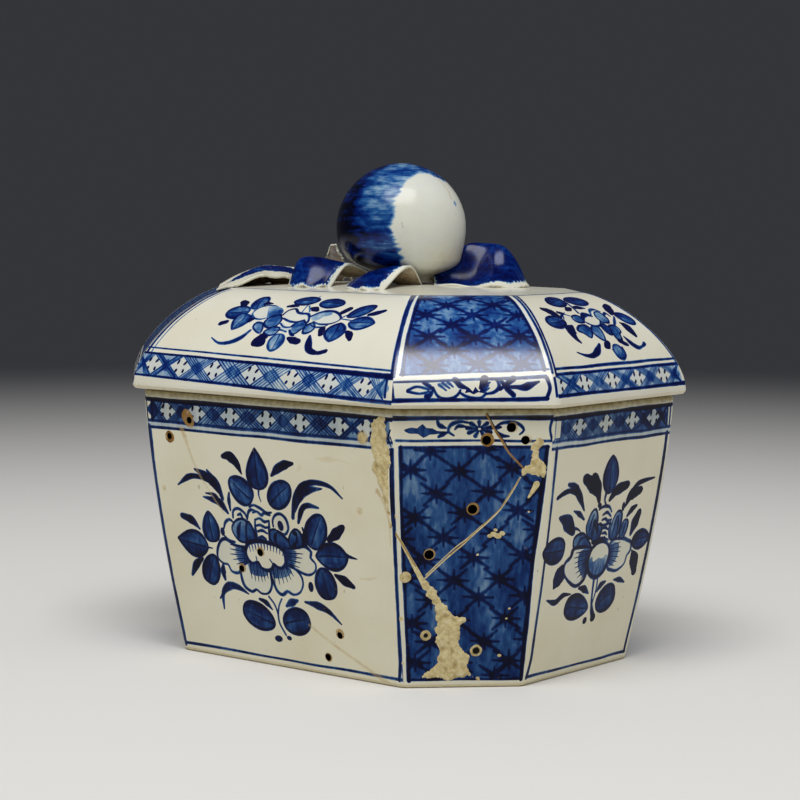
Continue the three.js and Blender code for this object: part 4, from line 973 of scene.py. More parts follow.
def lid_front_flower():
    art = Art()
    art.leaf(-12.8, 25.4, 2.7, 2, 100, 0.56, base=0.35, point=0.45)
    art.line([(-18.6, 25.4), (-17.4, 24.6), (-16.4, 23.4)], [1.4, 2.0, 0.6], DARK)
    art.line([(-10.6, 25.1), (-8.7, 25.1)], [1.4, 0.5], DARK)
    art.leaf(-17.1, 21.2, 3.4, 2.2, 186, 0.58, point=0.5, base=0.5)
    art.leaf(-14.2, 17.9, 2.7, 2.4, 255, 0.54, point=0.75, base=0.3)
    art.line([(-19.9, 16.9), (-18.2, 17.6)], [1.3, 1.2], DARK)
    art.line([(-11.4, 18.4), (-10.2, 19.3)], [1.3, 0.8], DARK)
    art.line([(-13, 23.4), (-12, 21.2), (-11.8, 20)], 0.45, 0.62)
    white_petal(art, [(-6.6, 19.6), (-8.4, 19), (-10.6, 19.4), (-12.2, 21), (-11.6, 23), (-9.6, 24.2),
                      (-7, 24.2), (-5.4, 22.6)], [], 0.6, 0.45)
    wash_petal(art, [(-4.6, 20.4), (-2.8, 21.6), (-4.2, 23.4), (-7, 24.1), (-8.8, 23.6), (-7.6, 21.4),
                     (-6.6, 19.8)], 0.3, 0.72, False)
    wash_petal(art, [(-3, 21), (-1.6, 19.4), (-1.8, 17.2), (-4.2, 16.4), (-6.2, 17.8), (-5.6, 20)], 0.5, 0.7)
    wash_petal(art, [(-5.6, 16.2), (-5.4, 14.6), (-7, 15), (-8.8, 16.4), (-8.6, 17.8), (-6.6, 17.6)], 0.42,
               0.64)
    wash_petal(art, [(-2.6, 16.8), (-0.2, 16.4), (-0.6, 14.6), (-2.6, 14), (-4.4, 15)], 0.5, 0.68)
    wash_petal(art, [(5.4, 19.4), (7, 18), (6, 15.6), (4.6, 14.8), (3, 16.2), (3.4, 18.2)], 0.48, 0.66)
    wash_petal(art, [(7, 17.6), (8.6, 18.8), (10.2, 17.2), (9.4, 15.6), (7.6, 15.4)], 0.42, 0.62)
    art.blob([(-0.4, 18.4), (0.8, 17.4), (2.6, 17.2), (3.4, 16.4), (2.4, 15.6), (0.4, 16)], 0.12)
    art.lines([[(-1, 18), (0.4, 17), (2.2, 16.8), (3.6, 17.6)], [(-1.6, 15.6), (0.2, 15.9), (2.4, 15.4)],
               [(3, 16), (4.2, 14.6), (5.4, 14.4)]], 0.5, 0.7)
    art.blob([(-2.4, 20.8), (-1.8, 22.6), (0, 23.4), (1.6, 22.2), (3.2, 21.8), (5, 21.8), (6.2, 20.8),
              (5.4, 19.4), (3.2, 18.8), (1, 19), (-1, 19.6)], 0.03)
    art.line([(-2.4, 20.8), (-1.8, 22.7), (0, 23.5), (1.6, 22.2), (3.2, 21.8), (5, 21.8), (6.3, 20.6),
              (7, 18.8)], [0.5, 0.6, 0.8, 0.6], 0.76)
    art.line([(-1.4, 19.8), (1, 18.9), (3.4, 18.7), (5.4, 19.6)], [0.5, 0.7, 0.5], 0.72)
    art.blob([(6.6, 20.8), (8.6, 22.6), (11.6, 23.2), (14.4, 22.2), (15.8, 20.4), (14.2, 18.8), (11, 18.4),
              (8.4, 19)], 0.04)
    art.blob([(6.8, 20.8), (8.8, 22.4), (11.6, 22.9), (12.4, 21.9), (10.4, 21), (9.6, 19.8), (8, 19.6)], 0.24)
    art.line([(6.5, 20.9), (8.6, 22.7), (11.6, 23.3), (14.4, 22.3), (16, 20.4), (14.2, 18.8), (11, 18.4),
              (8.4, 19.2)], [0.6, 0.9, 0.7, 0.4, 0.6, 0.4], 0.7)
    art.line([(7.8, 18.4), (10, 17.4), (12.6, 17.6), (13.6, 18.4)], [0.3, 0.6, 0.3], 0.72)
    art.line([(-3, 11.6), (-4.4, 12.2), (-5.2, 11.8)], [1.6, 3.2, 2.2], DARK)
    art.line([(-2.8, 13.4), (-4.4, 13.6)], [1.0, 1.6], DARK)
    art.leaf(1, 12.1, 2.5, 2.1, 268, 0.45, point=0.6, base=0.5)
    art.line([(4, 13.6), (5.9, 13), (7.9, 12.6)], [0.7, 1.7, 1.4], DARK)
    art.leaf(0.9, 27.1, 3.6, 1.8, 6, 0.66, point=0.6, base=0.6)
    art.leaf(9.3, 26.5, 3.7, 1.9, -4, 0.66, point=0.6, base=0.5)
    art.line([(-3.2, 24.3), (-1.6, 24.7), (0.2, 24.5)], [0.8, 1.3, 0.4], DARK)
    art.line([(4.4, 24.2), (5.8, 23.8), (7, 23.2)], [0.6, 1.7, 0.9], DARK)
    art.lines([[(3, 29.8), (2.8, 28), (2.6, 24.6), (2.8, 22)], [(3.2, 25), (5, 22.6)]], 0.4, 0.5)
    art.lines([[(16.2, 20.6), (18, 20.4), (20, 20.2)], [(16, 21), (17.4, 22.4)]], 0.4, 0.6)
    art.leaf(17, 16.2, 2.9, 2.7, 270, 0.56, point=0.85, base=0.8)
    art.leaf(20.3, 23.8, 3.6, 1.8, 38, 0.62, point=0.55, base=0.6)
    art.leaf(23.1, 19.5, 3.7, 2, 2, 0.58, point=0.85, base=0.7)
    art.line([(12.7, 16.8), (13.3, 15.4)], [1.6, 1.4], DARK)
    art.line([(15, 23), (16.1, 24.4)], [1.5, 1.6], DARK)
    art.line([(23.2, 22.6), (25.2, 23.4), (26.9, 24.4)], [1.0, 1.7, 1.0], DARK)
    art.line([(20.6, 16.4), (21.8, 15.6), (22.8, 14.2)], [0.9, 1.9, 1.0], DARK)
    art.line([(-8.9, 15.3), (-10.4, 13), (-13, 11.4), (-16.6, 10.9), (-20, 12.4)], [0.7, 1.4, 1.1, 0.6, 0.3],
             0.8)
    art.line([(10.3, 14.6), (11.4, 12), (12.6, 10.4), (15.2, 9.8), (17.6, 10.5)], [0.6, 1.9, 1.5, 0.9, 1.1],
             DARK)
    return art


def lid_side_flower():
    art = Art()
    art.leaf(-4.3, 27.6, 3.7, 2.1, 12, 0.72, point=0.45, base=0.6)
    art.leaf(4, 27.4, 4, 1.9, -6, 0.74, point=0.55, base=0.6)
    art.line([(-0.6, 27), (-0.7, 24.6), (-0.9, 22.6)], [0.8, 0.6, 0.8], 0.76)
    art.line([(-4.4, 23.8), (-3, 24.3), (-1.9, 24.6)], [0.7, 1.7, 0.9], DARK)
    art.line([(-0.6, 24.7), (1.4, 24.7), (3.8, 24.2)], [1.0, 1.4, 0.4], DARK)
    art.line([(-12.9, 24.8), (-11.2, 23.6), (-9.4, 21.4)], [1.4, 2.8, 0.7], DARK)
    art.leaf(-12.9, 20, 3.6, 1.9, 184, 0.66, point=0.5, base=0.5)
    art.line([(-8, 18.4), (-10.2, 16.8), (-10.4, 14.6), (-9.6, 13.2)], [0.7, 2.9, 1.8, 0.7], DARK)
    art.line([(-9.4, 21.4), (-7.8, 22.4), (-6, 23)], [0.5, 0.7, 0.2], 0.7)
    art.line([(-8.6, 23.2), (-7, 23)], [1.0, 0.5], DARK)
    art.blob([(-8.8, 20.6), (-7.4, 22.2), (-5.2, 21.6), (-4.6, 20), (-6, 18.6), (-8, 18.8)], 0.03)
    art.line([(-8.8, 20.8), (-7.4, 22.4), (-5.2, 21.7)], 0.4, 0.55)
    wash_petal(art, [(-1.4, 20.8), (-2.6, 21.8), (-5, 21.4), (-5.2, 19.8), (-3.4, 19.2), (-1.6, 19.6)], 0.5,
               0.82)
    wash_petal(art, [(-2.8, 18.4), (-1.8, 17.2), (-2.8, 15.4), (-4.4, 14.4), (-6, 16), (-7.4, 16.8),
                     (-5.4, 18.2)], 0.6, 0.76)
    wash_petal(art, [(-0.2, 18), (1.8, 17.2), (1.6, 15.2), (0.4, 13.2), (-1.6, 14.8), (-2, 16.6)], 0.45, 0.68)
    wash_petal(art, [(3, 18), (5.2, 18.2), (6, 16), (4.6, 14.8), (3.2, 16)], 0.66, 0.82)
    wash_petal(art, [(6.4, 17.6), (8.8, 17.6), (9.6, 15.8), (8.2, 14.8), (7.6, 13.2), (5.8, 13.4),
                     (5.6, 15.6)], 0.5, 0.7)
    wash_petal(art, [(5, 18.8), (4.4, 20.6), (5.6, 22.4), (7.6, 22.4), (8.4, 20.2), (7.4, 18.6)], 0.42, 0.62)
    art.blob([(-1.4, 19.6), (-0.4, 21), (1.4, 20.9), (3.6, 20.6), (4.4, 19.4), (3.2, 18.2), (0.8, 18)], 0.03)
    art.line([(-1.6, 20.2), (-0.4, 21.4), (1.4, 21.9), (3.2, 21.2)], [0.9, 1.6, 0.7], 0.8)
    art.line([(-1.4, 19), (0.6, 17.8), (3.2, 17.9), (4.6, 19.2)], [0.6, 0.8, 0.6], 0.76)
    art.lines([[(3.4, 21.8), (4.6, 23.2), (6.6, 23.6), (8.4, 22.6)], [(8.8, 17.6), (10.2, 18.8), (12, 20.6)],
               [(8, 21), (9.8, 22), (10.4, 20.6)]], [0.6, 0.9, 0.4], 0.7)
    art.line([(14, 24.6), (12.8, 23.4), (11.7, 21.4)], [1.8, 3.0, 0.9], DARK)
    art.leaf(15.6, 19.7, 3.2, 1.6, -30, 0.72, point=0.5, base=0.6)
    art.line([(12.1, 18.2), (13.4, 16.6), (14.2, 14.2)], [0.7, 2.7, 1.3], DARK)
    art.line([(1.2, 12.6), (0, 11.8), (-1, 11.4)], [1.2, 2.0, 0.9], DARK)
    art.line([(6, 13), (7.6, 12), (8.6, 11.6)], [1.2, 1.3, 0.8], 0.85)
    art.disc(3.4, 10, 2.3, 0.56, r2=2.2)
    art.disc(3.2, 10.3, 1.4, 0.4, r2=1.2)
    art.line([(1.2, 10.6), (1.8, 8.6), (3.6, 7.9), (5.4, 9), (5.6, 11)], [0.5, 0.9, 0.5], 0.8)
    art.line([(-2.7, 12.4), (-5, 10.6), (-8, 9.4), (-10.8, 9.6), (-13.5, 10.6)], [0.7, 1.6, 1.2, 0.8, 0.4],
             0.84)
    art.line([(9.1, 14), (10.4, 11.8), (12.2, 10.6), (14.2, 10.8), (15.9, 11.6)], [0.5, 1.5, 1.4, 0.6, 1.0],
             0.88)
    return art


def lid_lines(art, u0, u1, rows, slope=0.0):
    """rows hold a line's height, widths and ink"""
    for height, widths, ink in rows:
        art.line([(u, v + slope * u) for u, v in along_u(u0, u1, height, sway=0.2)], widths, ink)


def plateau_line(art, panel):
    top = float(COVER[panel].v[-1])
    half = float(COVER[panel].crest(panel, top)) + 0.3
    art.line(along_u(-half, half, top - 0.5, sway=0.15), [0.4, 0.55, 0.4], 0.66)


def lid_front_art():
    art = Art()
    slope = -0.026
    diaper(art, 0.4, 5.9, [-35.5, -25.8, -14.7, -2.2, 10.1, 21.7, 32.6], (-40.6, 38.6), slope)
    lid_lines(art, -41.5, 41.5, [(0.1, [0.5, 0.7, 0.9], 0.84), (6.0, [0.5, 0.6, 1.0, 1.3], 0.94),
                                 (7.5, [0.4, 0.5, 0.5], 0.72)], slope)
    art.line([(39, 0.2), (38.6, 4.8)], 0.7, 0.86)
    art.line(up_ridge(COVER[FRONT], FRONT, 1, [(5, 0.3), (33, 0.3)]), [0.9, 0.7, 0.8], 0.82)
    art.line(up_ridge(COVER[FRONT], FRONT, -1, [(7, 0.8), (32, 0.6)]), 0.7, 0.86)
    art.line(up_ridge(COVER[FRONT], FRONT, -1, [(7, 2.2), (32, 1.8)]), 0.35, 0.55)
    plateau_line(art, FRONT)
    return art


def lid_side_art():
    art = Art()
    diaper(art, 0.5, 5.2, [-26.1, -15.7, -4.4, 6.4, 17.5], (-26.4, 25.4))
    lid_lines(art, -28, 28, [(0.4, [0.8, 0.6, 0.9], 0.88), (5.4, [0.8, 0.6, 0.8], 0.86),
                             (6.8, [0.6, 0.8, 0.5], 0.84)])
    art.line(up_ridge(COVER[RIGHT], RIGHT, -1, [(6, 0.1), (33, 0.1)]), 0.8, 0.8)
    art.line(up_ridge(COVER[RIGHT], RIGHT, 1, [(5, 0.6), (33, 0.5)]), 0.7, 0.72)
    plateau_line(art, RIGHT)
    return art


def lid_chamfer_art():
    art = Art()
    panel = FRONT_RIGHT
    skin = COVER[panel]
    top = float(skin.v[-1])
    left = up_ridge(skin, panel, -1, [(5.6, 1.9), (top, 1.7)])
    right = up_ridge(skin, panel, 1, [(6.8, 2.2), (top, 2.2)])
    star_lattice(art, [*left, *right[::-1]], lid_star_places(), 0.5)
    art.fill([*left, (-22, top), (-22, 5.6)], 0.03)
    art.fill([*right, (22, top), (22, 6.8)], 0.03)
    art.fill([(-22, -1), (22, -1), (22, 6.8), (-22, 5.4)], 0.02)
    art.line(left, [0.9, 0.7, 1.1], 0.9)
    art.line(right, [0.9, 0.7, 0.9], 0.92)
    art.line(along_u(-17, 17, 5.6, 6.9), 0.5, 0.66)
    art.line(up_ridge(skin, panel, 1, [(6, 0.5), (top, 0.5)]), 0.6, 0.74)
    art.line(up_ridge(skin, panel, -1, [(5, 0), (top, 0)]), 0.7, 0.8)
    plateau_line(art, panel)
    # cartouche on the rim
    art.line(along_u(-19.2, 16.4, -0.5, -0.1), [0.9, 0.7, 0.9], 0.86)
    art.line(along_u(-18.8, 16.2, 3.7, 5.1), [0.5, 0.6, 0.8], 0.8)
    art.line([(-18.9, 3.6), (-18.9, 1.4), (-18.6, -0.4)], [0.5, 0.9, 0.7], 0.84)
    art.line([(16.3, 5), (17, 2.4), (16.2, 0)], [0.8, 0.7, 0.8], 0.86)
    art.line([(18.2, 4.8), (18.6, 0.4)], 0.6, 0.8)
    art.lines([[(-15.4, 1.8), (-13.4, 2.7), (-11, 2.2), (-10.4, 1.7), (-12.6, 1.1), (-15.4, 1.6)]], 0.6, 0.78)
    art.line([(-11.8, 3.7), (-10.4, 2.8), (-9.4, 1.8)], [0.6, 1.0, 0.5], 0.86)
    art.line([(-11, 0.4), (-10.2, 0.9), (-9.6, 2)], [1.3, 0.9, 0.4], 0.88)
    art.lines([[(-9.6, 2.6), (-8.8, 0.8), (-7.4, -0.1), (-5.4, 0), (-4, 0.9), (-3.4, 1.9)],
               [(-3.6, 1.4), (-2.4, 0.6), (-0.6, 0), (1.4, 0.2), (2.4, 1.2)],
               [(2.2, 1), (4.2, 1.4), (5.4, 2.6), (5, 4.2), (4, 4.6)],
               [(-4.6, 4), (-3.6, 2.8), (-2, 2.3)]], [0.5, 0.8, 0.5], 0.8)
    art.lines([[(-7.4, 3.6), (-5.8, 2.3)], [(-6.2, 3.8), (-5, 2.6)], [(-8.2, 3.2), (-6.6, 1.8)],
               [(2, 2.2), (3, 3)], [(2.2, 2.9), (3.4, 3.8)], [(1.8, 1.6), (3.2, 2.4)]], [0.8, 0.35], 0.66)
    art.blob([(-2.4, 1.2), (-1.6, 2.6), (-0.6, 1.6), (0, 2.7), (0.8, 1.6), (1.6, 2.6), (2, 1.2), (0.6, 1.4),
              (-0.4, 0.9), (-1.4, 1.4)], 0.93)
    art.line([(2.2, 4.6), (1.8, 3.4), (1.2, 2.4)], [1.6, 1.4, 0.8], 0.92)
    art.line([(-4.6, 4.4), (-3.4, 3.2), (-1.8, 2.4)], [1.2, 0.9, 0.4], 0.86)
    art.line([(8.8, 4.7), (7, 3.2), (5.6, 2)], [1.3, 1.0, 0.6], 0.9)
    art.line([(5.8, 4.3), (7.2, 2.2), (8.7, 0.7)], [0.6, 1.0, 1.1], 0.88)
    art.line([(7.4, 2.6), (9.6, 2.6), (11.4, 2.7), (14.6, 3.9)], [0.7, 0.9, 1.5, 0.4], 0.86)
    art.line([(9, 2.4), (11.6, 2), (14.2, 3.6)], [0.4, 0.6, 0.3], 0.76)
    return art


# drilled holes: panel, place on it and radius
HOLES = [(FRONT, -31.6, 54.9, 0.8), (FRONT, -24.5, 59.3, 0.85), (FRONT, -4.9, 28.4, 0.95),
         (FRONT, -11.6, 23.7, 0.85), (FRONT, 17.6, 10.6, 0.85), (FRONT, 13, 4.6, 0.9),
         (FRONT_RIGHT, 8.7, 61.8, 1.1), (FRONT_RIGHT, 3.1, 58.9, 1.05), (FRONT_RIGHT, 12, 58.9, 1.0),
         (FRONT_RIGHT, 0.4, 42.9, 1.1), (FRONT_RIGHT, -9.2, 32.3, 1.1)]

flower, small_flower = front_flower(), side_flower()
long_panel, short_panel, lattice_panel = tub_front_art(), tub_side_art(), tub_chamfer_art()
painted_front = long_panel.added(flower)
painted_corner = lattice_panel.added()
damage_front(painted_front)
damage_chamfer(painted_corner)
for panel, u, v, radius in HOLES:
    (painted_front if panel == FRONT else painted_corner).disc(u, v, radius, 0, HOLE, sides=24)
TUB_ART = {FRONT: painted_front, RIGHT: short_panel.added(small_flower), FRONT_RIGHT: painted_corner,
           BACK: long_panel.added(flower.flipped()), LEFT: short_panel.added(small_flower.flipped()),
           BACK_RIGHT: lattice_panel.flipped(), FRONT_LEFT: lattice_panel.flipped(), BACK_LEFT: lattice_panel}
lid_front, lid_side = lid_front_art(), lid_side_art()
lid_flower, lid_small = lid_front_flower(), lid_side_flower()
COVER_ART = {FRONT: lid_front.added(lid_flower), BACK: lid_front.added(lid_flower.flipped()),
             RIGHT: lid_side.added(lid_small), LEFT: lid_side.added(lid_small.flipped()),
             FRONT_RIGHT: lid_chamfer_art(), BACK_RIGHT: lid_chamfer_art().flipped(),
             FRONT_LEFT: lid_chamfer_art().flipped(), BACK_LEFT: lid_chamfer_art()}


# Materials

BLACK, WHITE = (0, 0, 0, 1), (1, 1, 1, 1)


class Nodes:
    """The nodes of one material or world"""

    def __init__(self, owner):
        owner.use_nodes = True
        self.tree = owner.node_tree
        self.tree.nodes.clear()

    def feed(self, socket, value):
        """Link another node's output to the socket, or set its value"""
        if isinstance(value, bpy.types.NodeSocket):
            self.tree.links.new(value, socket)
        else:
            socket.default_value = value

    def add(self, kind, **inputs):
        """A new node. An input's name is written with _ for a space."""
        made = self.tree.nodes.new("ShaderNode" + kind)
        for name, value in inputs.items():
            self.feed(made.inputs[name.replace("_", " ")], value)
        return made

    def math(self, operation, *values, clamp=False):
        made = self.add("Math")
        made.operation, made.use_clamp = operation, clamp
        for socket, value in zip(made.inputs, values):
            self.feed(socket, value)
        return made.outputs[0]

    def times(self, a, b, clamp=False):
        return self.math("MULTIPLY", a, b, clamp=clamp)

    def scaled(self, value, by, plus, clamp=False):
        return self.math("MULTIPLY_ADD", value, by, plus, clamp=clamp)

    def mix(self, factor, a, b, blend="MIX"):
        """Colour a, with b over it by factor"""
        made = self.add("Mix")
        made.data_type, made.blend_type, made.clamp_factor = "RGBA", blend, True
        for k, value in ((0, factor), (6, a), (7, b)):
            self.feed(made.inputs[k], value)
        return made.outputs[2]

    def ramp(self, factor, stops, interpolation="LINEAR"):
        made = self.add("ValToRGB")
        made.color_ramp.interpolation = interpolation
        elements = made.color_ramp.elements
        for element, (at, colour) in zip(elements, (stops[0], stops[-1])):
            element.position, element.color = at, colour
        for at, colour in stops[1:-1]:
            elements.new(at).color = colour
        self.feed(made.inputs[0], factor)
        return made.outputs[0]

    def noise(self, vector, scale, detail=2.0, stretch=None, roughness=0.5):
        made = self.add("TexNoise", Scale=scale, Detail=detail, Roughness=roughness)
        if stretch:
            vector = self.add("Mapping", Vector=vector, Scale=stretch).outputs[0]
        self.feed(made.inputs["Vector"], vector)
        return made.outputs["Fac"]

    def seen(self):
        """1 where the camera, a reflection or clear glass looks, and 0 where light falls"""
        path = self.add("LightPath").outputs
        mirrored = self.math("MAXIMUM", path["Is Glossy Ray"], path["Is Transmission Ray"])
        return self.math("MAXIMUM", path["Is Camera Ray"], mirrored)


def srgb(r, g, b):
    def linear(c):
        c /= 255
        return c / 12.92 if c <= 0.04045 else ((c + 0.055) / 1.055) ** 2.4
    return (linear(r), linear(g), linear(b), 1)


def stops(*rows):
    """rows hold a place from 0 to 1 and red, green and blue from 0 to 255"""
    return [(at, srgb(*colour)) for at, *colour in rows]


TUB_INK = stops((0, 226, 221, 197), (0.12, 186, 194, 192), (0.3, 108, 138, 166), (0.5, 38, 78, 130),
                (0.66, 8, 44, 98), (0.8, 0, 20, 70), (1, 0, 2, 32))
COVER_INK = stops((0, 227, 224, 207), (0.12, 192, 203, 206), (0.3, 114, 150, 184), (0.5, 34, 86, 148),
                  (0.66, 6, 46, 116), (0.8, 0, 25, 94), (1, 0, 8, 64))
FRUIT_INK = [*stops((0, 219, 217, 203)), *COVER_INK[1:-1], *stops((0.9, 0, 10, 50), (1, 0, 2, 24))]
RUST = stops((0.05, 200, 184, 122), (0.4, 176, 136, 66), (0.9, 104, 66, 22))
PLASTER = stops((0.3, 184, 164, 112), (0.5, 212, 195, 144), (0.72, 230, 218, 178))
# GRIME_AND_SHADE is the brown of dirt and of painted shade under the cover's rim
WARM, SPECK, GRIME_AND_SHADE, BROWN, HOLE_SHADE = (srgb(226, 214, 180), srgb(120, 104, 78), srgb(84, 76, 32),
                                        srgb(138, 108, 54), srgb(14, 11, 8))


# how fine each noise is, in cells to a metre, and how deep the bumps are in metres
BRUSH_WIDE, BRUSH_FINE, CLOUDS, SPECKLE, BLOTS, GRAIN, SHEEN, SWELL = 160, 900, 45, 620, 700, 900, 260, 110
GLAZE_IOR, BUMP_DEPTH = 1.5, 0.0006


def glaze_material(name, ink_stops, gloss, streaks=(1, 1, 0.35), grime_and_shade=None, rough_at=0.1, bumps=0.12):
    """Tin glaze with brushed cobalt and filler. The paint attribute holds ink, stain, filler and light.

    grime is the two heights in metres between which soiling and painted shade under the cover's rim grow
    stronger."""
    material = bpy.data.materials.new(name)
    nodes = Nodes(material)
    shader, output = nodes.add("BsdfPrincipled"), nodes.add("OutputMaterial")
    nodes.feed(output.inputs[0], shader.outputs[0])
    where = nodes.add("TexCoord").outputs["Object"]
    attribute = nodes.add("Attribute")
    attribute.attribute_name = "paint"
    ink, stain, filler = nodes.add("SeparateColor", Color=attribute.outputs["Color"]).outputs
    # ink varies in strength with the brush and pools in small spots
    wide = nodes.noise(where, BRUSH_WIDE, 3, streaks)
    fine = nodes.noise(where, BRUSH_FINE, 3, streaks)
    vary = nodes.math("ADD", nodes.scaled(wide, 0.8, -0.4), nodes.scaled(fine, 0.5, -0.25))
    varied = nodes.times(vary, nodes.math("MINIMUM", nodes.times(ink, 2.2), 1))
    colour = nodes.ramp(nodes.math("ADD", ink, varied, clamp=True), ink_stops)
    # the white has faint warm clouds and small dark specks
    cloud = nodes.noise(where, CLOUDS, 4)
    warm = nodes.times(nodes.ramp(cloud, [(0.42, BLACK), (0.75, WHITE)]), 0.3)
    colour = nodes.mix(warm, colour, WARM, "MULTIPLY")
    speck = nodes.noise(where, SPECKLE, 1)
    specks = nodes.times(nodes.ramp(speck, [(0.76, BLACK), (0.8, WHITE)]), 0.35)
    colour = nodes.mix(specks, colour, SPECK)
    # dirt, with painted shade under the cover's rim, and stains soak in unevenly
    blot = nodes.noise(where, BLOTS, 3)
    if grime_and_shade:
        height = nodes.add("SeparateXYZ", Vector=where).outputs["Z"]
        dirt_and_shade = nodes.add("MapRange", From_Min=grime_and_shade[0], From_Max=grime_and_shade[1], To_Max=0.95, Value=height)
        dirt_and_shade.interpolation_type = "SMOOTHSTEP"
        patchy = nodes.times(dirt_and_shade.outputs[0], nodes.scaled(blot, 1.5, 0.25), clamp=True)
        colour = nodes.mix(patchy, colour, GRIME_AND_SHADE)
    soaked = nodes.times(stain, nodes.scaled(blot, 1.5, 0.15), clamp=True)
    rust = nodes.ramp(soaked, RUST)
    colour = nodes.mix(nodes.times(soaked, 1.5, clamp=True), colour, rust)
    grain = nodes.noise(where, GRAIN, 5, roughness=0.62)
    plaster = nodes.ramp(grain, PLASTER)
    dull = nodes.mix(nodes.times(stain, 1.3, clamp=True), plaster, BROWN)
    colour = nodes.mix(filler, colour, dull)
    # alpha below 1 paints shade: inside a drilled hole or a plug's pit, and low on a leaf's underside
    dark = nodes.math("SUBTRACT", 1, attribute.outputs["Alpha"], clamp=True)
    colour = nodes.mix(dark, colour, HOLE_SHADE)
    nodes.feed(shader.inputs["Base Color"], colour)
    rough = nodes.scaled(nodes.noise(where, SHEEN, 3), 0.1, rough_at)
    rough = nodes.scaled(filler, 0.6, rough)
    rough = nodes.scaled(soaked, 0.2, rough, clamp=True)
    nodes.feed(shader.inputs["Roughness"], rough)
    # the glaze waves faintly, and filler is rough
    swell = nodes.noise(where, SWELL, 2)
    height = nodes.scaled(nodes.times(grain, filler), 1.2, swell)
    bump = nodes.add("Bump", Strength=bumps, Distance=BUMP_DEPTH, Height=height)
    nodes.feed(shader.inputs["Normal"], bump.outputs[0])
    shader.inputs["IOR"].default_value = GLAZE_IOR
    shader.inputs["Specular IOR Level"].default_value = gloss
    return material


# the tub darkens towards its rim with dirt and painted shade under the cover
tub_glaze = glaze_material("tub_glaze", TUB_INK, 0.12, grime_and_shade=(0.0632, 0.0664))
cover_glaze = glaze_material("cover_glaze", COVER_INK, 0.8, rough_at=0.15)
leaf_glaze = glaze_material("leaf_glaze", COVER_INK, 0.3, (1, 1, 1), rough_at=0.14, bumps=0.5)
filler_plaster = glaze_material("filler", TUB_INK, 0.2, bumps=0.6)

# The tub

# The map's sheet is 212 mm wide for the tub. Painted panels have their middles at these places on it.
MAP_SCALE = 1 / 212
TUB_PLACES = {FRONT: (41, 1), RIGHT: (109, 1), FRONT_RIGHT: (157, 1), BACK: (41, 70), LEFT: (109, 70),
              FRONT_LEFT: (157, 70), BACK_LEFT: (20, 139), BACK_RIGHT: (60, 139)}
HOLE_PLACE = (205 * MAP_SCALE, 205 * MAP_SCALE)
RING_LEFT, FOOT_LOW, LIP_LOW, INSIDE_LOW = (k * MAP_SCALE for k in (90, 139, 158, 167))
# the lip is brown as unglazed clay, and darkened as painted shade under the cover's rim
BARE, LIP_BARE_AND_SHADE, INSIDE_PAINT = (0, 0.12, 0.35, 1), (0, 0.1, 0.22, 1), (0, 0.03, 0, 1)


def tub_object():
    build = Build()
    for panel, place in TUB_PLACES.items():
        add_panel(build, TUB, panel, TUB_ROWS, TUB_ART[panel], np.array(place) * MAP_SCALE, MAP_SCALE)
    for hole in HOLES:
        add_hole(build, *hole, HOLE_PLACE)
    # how far up and in from an edge its rounding goes
    edge = [(0, EDGE_ROUND), (0.12, 0.45), (0.27, 0.27), (0.55, 0.08), (EDGE_ROUND, 0)]
    foot = [(inset(wall_octagon(z), by), z) for z, by in edge]
    under = [(inset(FOOT, 40), FOOT_RECESS), (inset(FOOT, FOOT_RIM + FOOT_RECESS), FOOT_RECESS),
             (inset(FOOT, FOOT_RIM + 0.3), 0.1), (inset(FOOT, FOOT_RIM), 0.0)]
    add_rings(build, under + foot, BARE, (RING_LEFT, FOOT_LOW, 0.5, 0.08))
    tops = [(TUB_HEIGHT - z, by) for z, by in edge]
    lip = [(inset(wall_octagon(z), by), z) for z, by in reversed(tops)]
    inner = [(inset(wall_octagon(z), WALL - by), z) for z, by in tops]
    wall = [(inset(wall_octagon(z), WALL), z) for z in np.linspace(60, FLOOR + FLOOR_FILLET, 12)]
    fillet = [(inset(wall_octagon(FLOOR), WALL + FLOOR_FILLET * (1 - math.sin(t))),
               FLOOR + FLOOR_FILLET * (1 - math.cos(t))) for t in np.linspace(math.pi / 2, 0, 6)[1:]]
    middle = [(np.array([1.0, 1.0, 0.5]), FLOOR)]
    add_rings(build, lip + inner, LIP_BARE_AND_SHADE, (RING_LEFT, LIP_LOW, 0.5, 0.03))
    add_rings(build, inner[-1:] + wall + fillet + middle, INSIDE_PAINT, (RING_LEFT, INSIDE_LOW, 0.5, 0.2))
    return build.object("tub_painted", tub_glaze)

tub = tub_object()
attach(tub, "tub_body")
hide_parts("tub")

# The cover

COVER_SCALE = 1 / 170
COVER_PLACES = {FRONT: (42, 5), BACK: (42, 42), RIGHT: (115, 5), LEFT: (115, 42), FRONT_RIGHT: (20, 79),
                BACK_RIGHT: (60, 79), FRONT_LEFT: (100, 79), BACK_LEFT: (140, 79)}
CROWN_LEFT, UNDER_LEFT, UNDER_LOW, HOLLOW_LOW = (k * COVER_SCALE for k in (5, 80, 120, 132))
FLANGE_GAP, FLANGE_WIDTH = 1.1, 3.4


